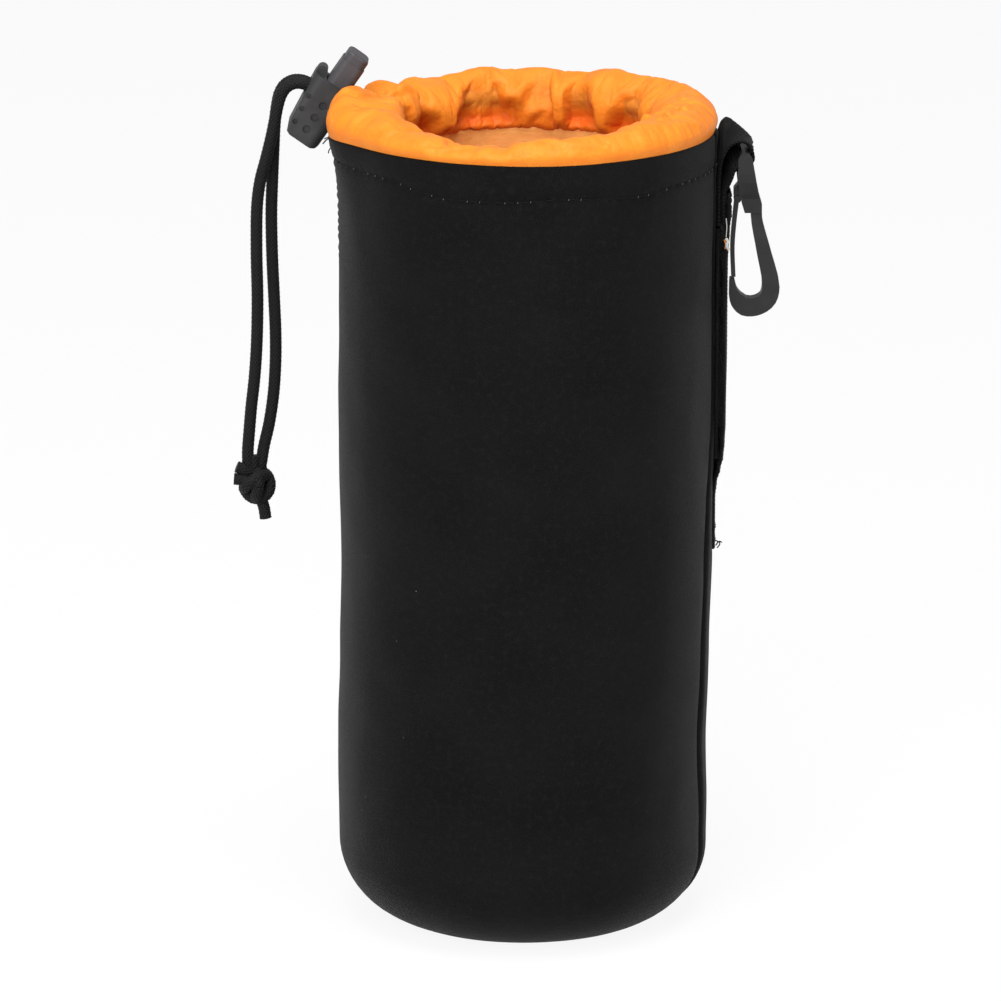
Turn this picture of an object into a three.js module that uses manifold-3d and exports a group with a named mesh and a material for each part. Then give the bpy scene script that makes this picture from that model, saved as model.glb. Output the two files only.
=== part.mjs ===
// Padded cylinder pouch of black neoprene with a gathered drawstring collar, a cord lock,
// a belt loop and a snap hook. Millimetres, +Z up, the front faces -Y and the hook hangs at +X.
// The origin is the centre of the underside of the base.
import * as THREE from "three";
import { mergeVertices } from "three/addons/utils/BufferGeometryUtils.js";
import Module from "manifold-3d";

const wasm = await Module();
wasm.setup();

// Pouch body
const POUCH_RADIUS = 50;
const WALL_HEIGHT = 216;
const WALL_THICKNESS = 4.5;
const BASE_CORNER_RADIUS = 20;
const LINING_THICKNESS = 1;
const LAYER_GAP = 0.3; // between layers that are sewn together or lie on each other
const FLARE_REACH = 3.4; // how far the cord pulls the top of the wall out
const FLARE_DROP = 26; // height over which that pull fades out
const FLARE_DEGREES = 193;
const FLARE_SPREAD_DEGREES = 12;

// Gathered collar
const COLLAR_RISE = 7; // above the top of the wall
const COLLAR_LOBE = 2.4; // extra height of the lobes beside the cord outlet
const COLLAR_LOBE_DEGREES = 186;
const COLLAR_LOBE_SPREAD_DEGREES = 9;
const COLLAR_TUCK = 11; // tongue held between wall and lining
const COLLAR_CLOTH = 1.5;
const COLLAR_DEPTH = 14.4; // from the crest down to the stitched foot of the roll
const ROLL_WIDTH_SIDE = 17; // from the pouch's outside in to the mouth's edge, left and right
const ROLL_WIDTH_FRONT = 12; // the same at the front and back
const GATHER_COUNT = 15;
const GATHER_DEPTH = 1.1;
const GATHER_RISE = 0.5;
const PINCH_DEPTH = 6.2; // the collar is drawn in where the cord leaves it
const PINCH_DEGREES = 167;
const PINCH_SPREAD_DEGREES = 12;

// Drawcord
const CORD_DIAMETER = 3.2;
const CORD_FIT = 0.45; // round the cord in the hem channel and the lock
const HEM_INSET = 4.6; // from the mouth's edge to the cord in the hem
const HEM_RISE = 1.8; // of that cord above the top of the wall
const HEM_TURN_DEGREES = 17; // where the cord leaves its round run for the outlet
const HEM_SPREAD_SHARE = 1.7; // of their pitch, between the cords where they close on the outlet
const HEM_POINTS = 32;

// Cord lock, in its own frame: its axis is the plunger's, and the cord crosses it
const LOCK_REACH = 2.44; // of the middle of its slot, out from the pouch
const LOCK_OFFSET = 8; // of the same towards the back
const LOCK_RISE = 6.45; // of the same above the top of the wall
const LOCK_TILT_DEGREES = 35;
const BARREL_HEIGHT = 17.5;
const BARREL_DEPTH = 12.8;
const BARREL_FOOT_WIDTH = 5.2; // from the axis to the outer side, at the foot
const BARREL_HEAD_WIDTH = 7.2; // the same at the rim
const BARREL_BACK_WIDTH = 4.7;
const BARREL_CORNER = 3;
const BARREL_FLOOR = 1.7;
const SLOT_DROP = 4.5; // of the cords below the rim
const CORD_PITCH = 3.8;
const SLOT_FLARE = 1.3;
const SLOT_FLARE_DEPTH = 2.4;
const PLUNGER_WIDTH = 6.7;
const PLUNGER_DEPTH = 9.9;
const PLUNGER_REACH = 10; // above the rim
const PLUNGER_SKIRT = 4; // below the cords
const PLUNGER_STEP = 2.8; // from the tip down to the step line
const PLUNGER_STEP_INSET = 0.25;
const PLUNGER_TRAVEL = 2.5;
const PLUNGER_FIT = 0.3;
const EAR_WIDTH = 2.9;
const EAR_RISE = 2.4;
const EAR_DEPTH = 5;
const GRIP_DIAMETER = 1.5;
const GRIP_INSET = 1.3; // from the barrel's outer side
const GRIP_PITCH = 3.8;
const GRIP_COUNT = 3;
const RECESS_DIAMETER = 2.3;
const RECESS_INSET = 0.6; // from the axis towards the outer side
const GRIP_DEPTH = 0.7; // of grips and recesses
const BARREL_CHAMFER_SHARE = 0.3; // of the floor, at the foot's edges
const BORE_CORNER_SHARE = 0.625; // of the bore's half width
const PLUNGER_CORNER_SHARE = 0.555; // of the plunger's half width
const PLUNGER_BEVEL_SHARE = 0.25; // of the step
const ROUND_END_SHARE = 0.995; // of a half width, as the radius of a round end
const SPRING_WIRE = 0.7;
const SPRING_DIAMETER = 4.4;
const SPRING_TURNS = 5;

// Belt loop
const STRAP_WIDTH = 20;
const STRAP_THICKNESS = 1;
const STRAP_LENGTH = 97.6;
const STRAP_DROP = 16.4; // from the top of the wall to the strap's upper end
const STRAP_TURN_DEGREES = 5; // of its middle round towards the back
const STRAP_BULGE = 3.4; // outer face of the free stretch above the wall's surface
const STRAP_SEWN_LENGTH = 7;
const BACKING_THICKNESS = 1.2;
const BACKING_SHARES = [0.256, 0.902]; // where the backing starts and ends along the strap

// Hook webbing
const WEB_WIDTH = 12;
const WEB_THICKNESS = 1;
const WEB_DROP = 22.5; // from the top of the wall to the web's sewn ends
const WEB_RISE = 2; // of the middle of the web at its highest fold, above the top of the wall

// Snap hook
const PIVOT_REACH = 7.6; // of the eye's bar, out from the pouch
const PIVOT_DROP = 6.9; // of the same below the top of the wall
const EYE_BAR_DIAMETER = 3.1;
const EYE_INNER_WIDTH = 12.8;
const EYE_LEG_WIDTH = 1.9;
const EYE_LEG_THICKNESS = 3.8;
const EYE_DROP = 15.6; // from the bar's axis to the underside of the boss
const BOSS_WIDTH = 4.5;
const BOSS_DEPTH = 5.2;
const HOOK_DROP = 28.4; // from the boss to the lowest point of the bowl
const HOOK_REACH = 13.6; // from the nose to the outer side of the bowl
const HOOK_THICKNESS = 4;
const HOOK_REST_GAP = 0.6; // from the strap to the nose
const ARM_HEIGHT = 4.2;
const ARM_THICKNESS = 3.6;
const KNUCKLE_DIAMETER = 2;
const KNUCKLE_FIT = 0.3;
const KNUCKLE_INSET = 1.9; // from the nose's outer side
const KNUCKLE_RISE = 3.5; // above the boss's underside
const GATE_WIDTH = 3.4;
const GATE_THICKNESS = 1.1;
const GATE_LENGTH = 21;

// Facets
const RING_STEPS = 80;
const CORD_SIDES = 8;
const ROUND_SIDES = 12;
const CURVE_STEPS = 5;
const TURN_STEPS = 4; // round an inner corner or the lip
const TAIL_STEPS = 3; // along a cut end of the cord
const BEVEL_STEPS = 2;
const STRIP_COLUMNS = 6;
const BAND_STEPS = 3; // between two points of a band's middle line
const OVERRUN = 2; // how far a cutter passes the surface that it cuts

const FULL_TURN = 2 * Math.PI;
const DEGREE = Math.PI / 180;

// Sizes that follow from those above
const innerRadius = POUCH_RADIUS - WALL_THICKNESS;
const baseRadius = POUCH_RADIUS - BASE_CORNER_RADIUS;
const liningRadius = innerRadius - LAYER_GAP;
const collarTop = WALL_HEIGHT + COLLAR_RISE;
const tongueBottom = WALL_HEIGHT - COLLAR_TUCK;
const cordRadius = CORD_DIAMETER / 2;
const channelRadius = cordRadius + CORD_FIT;
const hemHeight = WALL_HEIGHT + HEM_RISE;
const mouthHalfWidth = POUCH_RADIUS - ROLL_WIDTH_SIDE;
const mouthHalfDepth = POUCH_RADIUS - ROLL_WIDTH_FRONT;
const lockTilt = LOCK_TILT_DEGREES * DEGREE;
const slotRise = BARREL_HEIGHT - SLOT_DROP;
const slotHeight = CORD_DIAMETER + 2 * PLUNGER_FIT;
const slotDepth = CORD_PITCH + slotHeight;
const strapOuterRadius = POUCH_RADIUS + STRAP_BULGE;
const strapTop = WALL_HEIGHT - STRAP_DROP;
const strapBottom = strapTop - STRAP_LENGTH;
const webFoot = WALL_HEIGHT - WEB_DROP;
const webCrest = WALL_HEIGHT + WEB_RISE;
const pivotX = POUCH_RADIUS + PIVOT_REACH;
const pivotZ = WALL_HEIGHT - PIVOT_DROP;
const noseX = strapOuterRadius + HOOK_REST_GAP;
const bossBottom = pivotZ - EYE_DROP;
const bowlBottom = bossBottom - HOOK_DROP;
const knuckleX = noseX + KNUCKLE_INSET;
const knuckleZ = bossBottom + KNUCKLE_RISE;

// Turns a geometry into a solid that can be joined and cut.
function solidOf(geometry) {
  const bare = geometry.index ? geometry.toNonIndexed() : geometry.clone();
  bare.deleteAttribute("normal");
  bare.deleteAttribute("uv");
  const merged = mergeVertices(bare);
  return new wasm.Manifold(
    new wasm.Mesh({
      numProp: 3,
      vertProperties: new Float32Array(merged.attributes.position.array),
      triVerts: new Uint32Array(merged.index.array),
    }),
  );
}

// Turns such a solid back into a geometry with flat faces.
function geometryOf(solid) {
  const mesh = solid.getMesh();
  const geometry = new THREE.BufferGeometry();
  geometry.setAttribute("position", new THREE.BufferAttribute(mesh.vertProperties, 3));
  geometry.setIndex(new THREE.BufferAttribute(mesh.triVerts, 1));
  const flat = geometry.toNonIndexed();
  flat.computeVertexNormals();
  return flat;
}

// A bump of height 1 at a centre, which fades out over a spread, both in degrees round the axis.
function bump(azimuth, centreDegrees, spreadDegrees) {
  const turn = azimuth - centreDegrees * DEGREE;
  const nearest = Math.atan2(Math.sin(turn), Math.cos(turn)) / DEGREE;
  return Math.exp(-((nearest / spreadDegrees) ** 2));
}

// How far a soft layer is pushed outwards by the pull of the cord.
function flareAt(azimuth, height) {
  const rise = THREE.MathUtils.clamp((height - WALL_HEIGHT + FLARE_DROP) / FLARE_DROP, 0, 1);
  return FLARE_REACH * rise * rise * bump(azimuth, FLARE_DEGREES, FLARE_SPREAD_DEGREES);
}

// A closed ring whose section, a loop of [radius, height] points, can change on the way round.
function ringSolid(sectionAt) {
  const positions = [];
  const indices = [];
  const count = sectionAt(0).length;
  for (let i = 0; i < RING_STEPS; i += 1) {
    const azimuth = (i / RING_STEPS) * FULL_TURN;
    for (const [radius, height] of sectionAt(azimuth)) {
      const pushed = radius + flareAt(azimuth, height);
      positions.push(pushed * Math.cos(azimuth), pushed * Math.sin(azimuth), height);
    }
    const here = i * count;
    const next = ((i + 1) % RING_STEPS) * count;
    for (let j = 0; j < count; j += 1) {
      const k = (j + 1) % count;
      indices.push(here + j, next + j, next + k);
      indices.push(here + j, next + k, here + k);
    }
  }
  const geometry = new THREE.BufferGeometry();
  geometry.setAttribute("position", new THREE.Float32BufferAttribute(positions, 3));
  geometry.setIndex(indices);
  geometry.computeVertexNormals();
  return geometry;
}

// Points on an arc in a section, from one angle to another in degrees.
function arcPoints(centreRadius, centreHeight, radius, fromDegrees, toDegrees, steps) {
  const points = [];
  for (let i = 0; i <= steps; i += 1) {
    const angle = (fromDegrees + ((toDegrees - fromDegrees) * i) / steps) * DEGREE;
    points.push([centreRadius + radius * Math.cos(angle), centreHeight + radius * Math.sin(angle)]);
  }
  return points;
}

// The wall: a tube that turns in under a rounded corner to the seam of the base.
function wallGeometry() {
  const lip = WALL_THICKNESS / 2;
  const lipHeight = WALL_HEIGHT - lip;
  const innerCorner = BASE_CORNER_RADIUS - WALL_THICKNESS;
  const section = [
    ...arcPoints(baseRadius, BASE_CORNER_RADIUS, BASE_CORNER_RADIUS, -90, 0, CURVE_STEPS),
    [POUCH_RADIUS, WALL_HEIGHT - FLARE_DROP],
    [POUCH_RADIUS, WALL_HEIGHT - FLARE_DROP / 2],
    ...arcPoints(POUCH_RADIUS - lip, lipHeight, lip, 0, 180, TURN_STEPS),
    [innerRadius, WALL_HEIGHT - FLARE_DROP / 2],
    [innerRadius, WALL_HEIGHT - FLARE_DROP],
    ...arcPoints(baseRadius, BASE_CORNER_RADIUS, innerCorner, 0, -90, TURN_STEPS),
  ];
  return ringSolid(() => section);
}

// The lining inside the wall, from its own base up to the tongue of the collar.
function liningGeometry() {
  const outerCorner = BASE_CORNER_RADIUS - WALL_THICKNESS - LAYER_GAP;
  const top = tongueBottom - LAYER_GAP;
  const section = [
    ...arcPoints(baseRadius, BASE_CORNER_RADIUS, outerCorner, -90, 0, TURN_STEPS),
    [liningRadius, WALL_HEIGHT - FLARE_DROP],
    [liningRadius, top],
    [liningRadius - LINING_THICKNESS, top],
    [liningRadius - LINING_THICKNESS, WALL_HEIGHT - FLARE_DROP],
    ...arcPoints(baseRadius, BASE_CORNER_RADIUS, outerCorner - LINING_THICKNESS, 0, -90, TURN_STEPS),
  ];
  return ringSolid(() => section);
}

// A flat round base, sewn into the end of the wall or the lining.
function discGeometry(bottom, thickness) {
  const rim = baseRadius - LAYER_GAP;
  const profile = [
    new THREE.Vector2(0, bottom),
    new THREE.Vector2(rim, bottom),
    new THREE.Vector2(rim, bottom + thickness),
    new THREE.Vector2(0, bottom + thickness),
  ];
  const geometry = new THREE.LatheGeometry(profile, RING_STEPS / 2);
  geometry.rotateX(Math.PI / 2);
  return geometry;
}

// Radius of the mouth's edge, which is narrower from side to side than from front to back.
function mouthRadius(azimuth) {
  const across = Math.cos(azimuth) / mouthHalfWidth;
  const deep = Math.sin(azimuth) / mouthHalfDepth;
  return 1 / Math.hypot(across, deep);
}

// The gathers: a wave round the mouth with an uneven pace, from -1 to 1.
function gatherAt(azimuth) {
  return Math.cos(GATHER_COUNT * azimuth + Math.sin(2 * azimuth) + Math.sin(3 * azimuth));
}

// The roll from its outer foot over the crest to the mouth: shares of its width, counted in from
// the outside, and of its rise.
const ROLL_SHARES = [[0, 0.4], [0.06, 0.75], [0.25, 0.97], [0.5, 1], [0.8, 0.86], [0.95, 0.55]];

// Section of the collar: a tongue in the seam, a soft roll over the top of the wall and its foot.
function collarSection(azimuth) {
  const gather = gatherAt(azimuth);
  const pinch = bump(azimuth, PINCH_DEGREES, PINCH_SPREAD_DEGREES);
  const lobe = COLLAR_LOBE * bump(azimuth, COLLAR_LOBE_DEGREES, COLLAR_LOBE_SPREAD_DEGREES);
  const crest = collarTop + lobe + GATHER_RISE * gather;
  const foot = collarTop - COLLAR_DEPTH;
  const mouth = mouthRadius(azimuth);
  const inside = mouth + GATHER_DEPTH * gather;
  const outside = POUCH_RADIUS - LAYER_GAP - PINCH_DEPTH * pinch;
  const tongueOuter = liningRadius;
  const tongueInner = liningRadius - COLLAR_CLOTH;
  const width = outside - inside;
  const rise = crest - WALL_HEIGHT;
  const shoulder = Math.min(tongueOuter, outside);
  return [
    [tongueOuter, tongueBottom],
    [tongueOuter, WALL_HEIGHT - WALL_THICKNESS / 2],
    [shoulder, WALL_HEIGHT + LAYER_GAP],
    ...ROLL_SHARES.map(([across, up]) => [outside - width * across, WALL_HEIGHT + rise * up]),
    [inside, WALL_HEIGHT],
    [inside + GATHER_DEPTH, foot + GATHER_DEPTH],
    [mouth + 2 * COLLAR_CLOTH, foot],
    [tongueInner - COLLAR_CLOTH, foot + COLLAR_CLOTH],
    [tongueInner, foot + COLLAR_CLOTH / 2],
    [tongueInner, tongueBottom],
  ];
}

// A round tube along a curve, with flat ends.
function tubeAlong(curve, radius, steps) {
  const round = new THREE.Shape();
  for (let i = 0; i < CORD_SIDES; i += 1) {
    const angle = ((i + 0.5) / CORD_SIDES) * FULL_TURN;
    const method = i === 0 ? "moveTo" : "lineTo";
    round[method](radius * Math.cos(angle), radius * Math.sin(angle));
  }
  round.closePath();
  return new THREE.ExtrudeGeometry(round, { steps, bevelEnabled: false, extrudePath: curve });
}

// The cord's run in the hem: in at the outlet, once round the mouth and out beside itself.
function hemCurve() {
  const outlet = Math.asin(LOCK_OFFSET / innerRadius);
  const start = Math.PI - outlet;
  const turn = HEM_TURN_DEGREES * DEGREE;
  const depart = innerRadius - HEM_INSET;
  const side = CORD_PITCH / 2;
  const points = [];
  const ends = (sign) => [
    [-depart, LOCK_OFFSET + sign * side],
    [-depart + cordRadius, LOCK_OFFSET + sign * side],
    [-depart + CORD_DIAMETER, LOCK_OFFSET + sign * side * HEM_SPREAD_SHARE],
  ];
  points.push(...ends(1).map(([x, y]) => new THREE.Vector3(x, y, hemHeight)));
  for (let i = 0; i <= HEM_POINTS; i += 1) {
    const azimuth = start - turn - ((FULL_TURN - 2 * turn) * i) / HEM_POINTS;
    const radius = mouthRadius(azimuth) + HEM_INSET;
    points.push(new THREE.Vector3(radius * Math.cos(azimuth), radius * Math.sin(azimuth), hemHeight));
  }
  points.push(...ends(-1).reverse().map(([x, y]) => new THREE.Vector3(x, y, hemHeight)));
  return new THREE.CatmullRomCurve3(points, false, "centripetal");
}

// Routes of the two free strands, from the outlet in the collar through the lock to the knot,
// counted from the left end of the wall's top edge.
const FRONT_ROUTE = [
  [8.8, 6.1, 1.8], [7, 6.1, 1.8], [5.2, 6.1, 1.95], [3.6, 6.1, 2.5],
  [1.9, 6.1, 3.4], [-0.8, 6.1, 5.3], [-3.5, 6.1, 7.19], [-6, 6.1, 8.94],
  [-7.5, 6.1, 9.95], [-9.4, 6.1, 10.75], [-11.6, 6.1, 10.75], [-13.7, 6.1, 9.6],
  [-15, 6.1, 7.7], [-15.9, 6.1, 5], [-16.7, 6.1, 1.2], [-17.7, 6, -3.5],
  [-19.2, 5.9, -9.5], [-20.8, 5.8, -15.5], [-21.7, 5.8, -22], [-22, 5.8, -34],
  [-21.9, 6, -48.5], [-22.3, 6.2, -61], [-23, 6.4, -70], [-23.9, 6.6, -77.5],
  [-24.6, 6.8, -85], [-25, 6.9, -90], [-25, 7, -94.4],
];
const REAR_ROUTE = [
  [8.8, 9.9, 1.8], [7, 9.9, 1.8], [5.2, 9.9, 1.95], [3.6, 9.9, 2.5],
  [1.9, 9.9, 3.4], [-0.8, 9.9, 5.3], [-3.5, 9.9, 7.19], [-6, 9.9, 8.94],
  [-7.5, 9.9, 9.95], [-9.4, 9.9, 10.8], [-11.8, 9.9, 10.9], [-14, 9.9, 9.8],
  [-15.45, 9.9, 7.7], [-16.3, 9.9, 4.3], [-16.9, 9.9, -0.4], [-17.3, 9.9, -7],
  [-17.7, 9.9, -15], [-18.1, 9.9, -25], [-18, 9.9, -37], [-17.6, 9.8, -48.5],
  [-17.3, 9.6, -58], [-17.4, 9.3, -66], [-18, 9, -74.5], [-19.3, 8.7, -83],
  [-20.7, 8.4, -89], [-21.5, 8.2, -93.8],
];
const STRAND_STEPS = 34;
const OUTLET_POINTS = 5; // of each route lie in the collar

// A point that is counted from the left end of the wall's top edge.
function fromEdge([x, y, z]) {
  return new THREE.Vector3(x - POUCH_RADIUS, y, z + WALL_HEIGHT);
}

function routeCurve(route) {
  return new THREE.CatmullRomCurve3(route.map(fromEdge), false, "centripetal");
}

// The channel in the hem and the outlet, a little wider than the cord.
function channelSolids() {
  const hem = tubeAlong(hemCurve(), channelRadius, RING_STEPS);
  const cutters = [solidOf(hem)];
  for (const route of [FRONT_ROUTE, REAR_ROUTE]) {
    const [x, y, z] = route[0];
    const outlet = routeCurve([[x + OVERRUN, y, z], ...route.slice(0, OUTLET_POINTS)]);
    cutters.push(solidOf(tubeAlong(outlet, channelRadius, ROUND_SIDES)));
  }
  return cutters;
}

function collarGeometry() {
  let solid = solidOf(ringSolid(collarSection));
  for (const cutter of channelSolids()) solid = solid.subtract(cutter);
  return geometryOf(solid);
}

// The knot of both strands: an uneven ball of wrapped turns with two short tails.
const KNOT_CENTRE = [-23.6, 7.6, -99.8];
const KNOT_SIZE = [10, 8.6, 10.4];
const KNOT_TAILS = [
  [[-25.4, 7.2, -98], [-28, 6.8, -96.4], [-30.6, 6.5, -95.4]],
  [[-22.4, 8, -102.6], [-21.2, 8.2, -105.6], [-20.3, 8.3, -109.4]],
];
const KNOT_LUMP_SHARES = [[0.14, 0, 0.05, 0.9], [-0.15, -0.04, 0, 0.88], [0.06, 0.04, -0.2, 0.8]];

function knotGeometry() {
  let solid = null;
  for (const [dx, dy, dz, share] of KNOT_LUMP_SHARES) {
    const lump = new THREE.SphereGeometry(1 / 2, CORD_SIDES, CORD_SIDES - 2);
    const [width, depth, height] = KNOT_SIZE;
    lump.scale(width * share, depth * share, height * share);
    const centre = fromEdge(KNOT_CENTRE);
    lump.translate(centre.x + width * dx, centre.y + depth * dy, centre.z + height * dz);
    solid = solid ? solid.add(solidOf(lump)) : solidOf(lump);
  }
  for (const tail of KNOT_TAILS) {
    solid = solid.add(solidOf(tubeAlong(routeCurve(tail), cordRadius, TAIL_STEPS)));
  }
  return geometryOf(solid);
}

// An outline in the XZ plane, given a depth along Y and centred on y = 0.
function extrudeAcross(shape, depth) {
  const geometry = new THREE.ExtrudeGeometry(shape, {
    depth,
    bevelEnabled: false,
    curveSegments: CURVE_STEPS,
  });
  geometry.rotateX(Math.PI / 2);
  geometry.translate(0, depth / 2, 0);
  return geometry;
}

// An outline in the XY plane, raised from one height to another.
function extrudeUp(shape, bottom, top) {
  const geometry = new THREE.ExtrudeGeometry(shape, {
    depth: top - bottom,
    bevelEnabled: false,
    curveSegments: CURVE_STEPS,
  });
  geometry.translate(0, 0, bottom);
  return geometry;
}

function polygon(points) {
  const shape = new THREE.Shape();
  shape.setFromPoints(points.map(([x, y]) => new THREE.Vector2(x, y)));
  return shape;
}

// A rectangle with round corners between two corners of a plane.
function roundedRectangle(left, right, bottom, top, radius) {
  const shape = new THREE.Shape();
  shape.moveTo(left + radius, bottom);
  shape.lineTo(right - radius, bottom);
  shape.absarc(right - radius, bottom + radius, radius, -Math.PI / 2, 0);
  shape.lineTo(right, top - radius);
  shape.absarc(right - radius, top - radius, radius, 0, Math.PI / 2);
  shape.lineTo(left + radius, top);
  shape.absarc(left + radius, top - radius, radius, Math.PI / 2, Math.PI);
  shape.lineTo(left, bottom + radius);
  shape.absarc(left + radius, bottom + radius, radius, Math.PI, 1.5 * Math.PI);
  shape.closePath();
  return shape;
}

// The way of the two cords across the lock, as a solid with round ends that runs along X.
function slotSolid(left, right, height, depth, middle) {
  const end = (height / 2) * ROUND_END_SHARE;
  const shape = roundedRectangle(-height / 2, height / 2, -depth / 2, depth / 2, end);
  const geometry = extrudeUp(shape, left, right);
  geometry.rotateY(Math.PI / 2);
  geometry.translate(0, 0, middle);
  return solidOf(geometry);
}

// Outer sides of the barrel seen from the front: it widens from its foot to its rim.
function barrelSide() {
  const soft = BARREL_FLOOR;
  const chamfer = soft * BARREL_CHAMFER_SHARE;
  return polygon([
    [-BARREL_FOOT_WIDTH + soft, 0],
    [BARREL_BACK_WIDTH - soft, 0],
    [BARREL_BACK_WIDTH - chamfer, chamfer],
    [BARREL_BACK_WIDTH, soft],
    [BARREL_BACK_WIDTH, BARREL_HEIGHT - soft / 2],
    [BARREL_BACK_WIDTH - soft / 2, BARREL_HEIGHT],
    [-BARREL_HEAD_WIDTH + EAR_WIDTH, BARREL_HEIGHT],
    [-BARREL_HEAD_WIDTH, BARREL_HEIGHT],
    [-BARREL_FOOT_WIDTH, soft],
    [-BARREL_FOOT_WIDTH + chamfer, chamfer],
  ]);
}

function barrelGeometry() {
  const left = -BARREL_HEAD_WIDTH;
  const halfDepth = BARREL_DEPTH / 2;
  const plan = roundedRectangle(left, BARREL_BACK_WIDTH, -halfDepth, halfDepth, BARREL_CORNER);
  const outside = solidOf(extrudeUp(plan, 0, BARREL_HEIGHT));
  let solid = outside.intersect(solidOf(extrudeAcross(barrelSide(), BARREL_DEPTH + OVERRUN)));

  const earEnd = (EAR_WIDTH / 2) * ROUND_END_SHARE;
  const ear = roundedRectangle(left, left + EAR_WIDTH, 0, EAR_RISE * 2, earEnd);
  const earSolid = extrudeAcross(ear, EAR_DEPTH);
  earSolid.translate(0, 0, BARREL_HEIGHT - EAR_RISE);
  solid = solid.add(solidOf(earSolid));

  const boreWidth = PLUNGER_WIDTH / 2 + PLUNGER_FIT;
  const boreDepth = PLUNGER_DEPTH / 2 + PLUNGER_FIT;
  const boreCorner = boreWidth * BORE_CORNER_SHARE;
  const bore = roundedRectangle(-boreWidth, boreWidth, -boreDepth, boreDepth, boreCorner);
  solid = solid.subtract(solidOf(extrudeUp(bore, BARREL_FLOOR, BARREL_HEIGHT + EAR_RISE + OVERRUN)));

  const reach = BARREL_HEAD_WIDTH + OVERRUN;
  solid = solid.subtract(slotSolid(-reach, reach, slotHeight, slotDepth, slotRise));
  solid = solid.subtract(slotFlareSolid());
  solid = solid.subtract(gripSolids());
  return geometryOf(solid);
}

// The mouth of the slot where the cords leave opens towards the foot, so that they can bend there.
function slotFlareSolid() {
  const face = -BARREL_HEAD_WIDTH - OVERRUN;
  const inner = face + OVERRUN + SLOT_FLARE_DEPTH;
  const top = slotRise;
  const bottom = slotRise - slotHeight / 2;
  const side = polygon([
    [inner, bottom],
    [inner, top],
    [face, top],
    [face, bottom - SLOT_FLARE],
    [inner - SLOT_FLARE_DEPTH / 2, bottom - SLOT_FLARE / 2],
  ]);
  return solidOf(extrudeAcross(side, slotDepth));
}

// Rows of round finger grips in the front and back faces, each a small and a wide one.
function gripSolids() {
  const slope = (BARREL_HEAD_WIDTH - BARREL_FOOT_WIDTH) / BARREL_HEIGHT;
  let grips = null;
  for (let i = 1; i <= GRIP_COUNT; i += 1) {
    const height = i * GRIP_PITCH;
    const side = BARREL_FOOT_WIDTH + height * slope;
    for (const [diameter, x] of [[GRIP_DIAMETER, GRIP_INSET - side], [RECESS_DIAMETER, -RECESS_INSET]]) {
      for (const face of [-BARREL_DEPTH / 2, BARREL_DEPTH / 2]) {
        const grip = new THREE.CylinderGeometry(diameter / 2, diameter / 2, GRIP_DEPTH * 2, CORD_SIDES);
        grip.translate(x, face, height);
        grips = grips ? grips.add(solidOf(grip)) : solidOf(grip);
      }
    }
  }
  return grips;
}

// The plunger: a slab with round sides, crossed by its own slot, with a step below its tip.
function plungerGeometry() {
  const halfWidth = PLUNGER_WIDTH / 2;
  const halfDepth = PLUNGER_DEPTH / 2;
  const corner = halfWidth * PLUNGER_CORNER_SHARE;
  const bottom = slotRise - PLUNGER_SKIRT;
  const top = BARREL_HEIGHT + PLUNGER_REACH;
  const body = roundedRectangle(-halfWidth, halfWidth, -halfDepth, halfDepth, corner);
  const headWidth = halfWidth - PLUNGER_STEP_INSET;
  const headDepth = halfDepth - PLUNGER_STEP_INSET;
  const head = roundedRectangle(-headWidth, headWidth, -headDepth, headDepth, corner);
  const bevel = PLUNGER_STEP * PLUNGER_BEVEL_SHARE;
  const cap = new THREE.ExtrudeGeometry(head, {
    depth: PLUNGER_STEP,
    bevelThickness: bevel,
    bevelSize: bevel,
    bevelOffset: -bevel,
    bevelSegments: BEVEL_STEPS,
    curveSegments: CURVE_STEPS,
  });
  cap.translate(0, 0, top - PLUNGER_STEP - bevel);
  let solid = solidOf(extrudeUp(body, bottom, top - PLUNGER_STEP)).add(solidOf(cap));
  const slot = slotHeight + PLUNGER_TRAVEL;
  const middle = slotRise - slotHeight / 2 + slot / 2;
  const way = slotSolid(-PLUNGER_WIDTH, PLUNGER_WIDTH, slotHeight, slotDepth, slotRise);
  const high = way.translate([0, 0, PLUNGER_TRAVEL]);
  const between = roundedRectangle(-slotDepth / 2, slotDepth / 2, -slot / 2, slot / 2, slotHeight / 2);
  const window = extrudeUp(between, -PLUNGER_WIDTH, PLUNGER_WIDTH);
  window.rotateX(Math.PI / 2);
  window.rotateZ(Math.PI / 2);
  window.translate(0, 0, middle);
  solid = solid.subtract(way.add(high).add(solidOf(window)));
  return geometryOf(solid);
}

// The coil spring that pushes the plunger out.
function springGeometry() {
  const bottom = BARREL_FLOOR + LAYER_GAP + SPRING_WIRE / 2;
  const top = slotRise - PLUNGER_SKIRT - LAYER_GAP - SPRING_WIRE / 2;
  const radius = (SPRING_DIAMETER - SPRING_WIRE) / 2;
  const points = [];
  const steps = SPRING_TURNS * CORD_SIDES;
  for (let i = 0; i <= steps; i += 1) {
    const angle = (i / CORD_SIDES) * FULL_TURN;
    const height = bottom + ((top - bottom) * i) / steps;
    points.push(new THREE.Vector3(radius * Math.cos(angle), radius * Math.sin(angle), height));
  }
  const wire = new THREE.Shape();
  wire.absarc(0, 0, SPRING_WIRE / 2, 0, FULL_TURN);
  return new THREE.ExtrudeGeometry(wire, {
    steps,
    curveSegments: CURVE_STEPS,
    bevelEnabled: false,
    extrudePath: new THREE.CatmullRomCurve3(points),
  });
}

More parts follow.
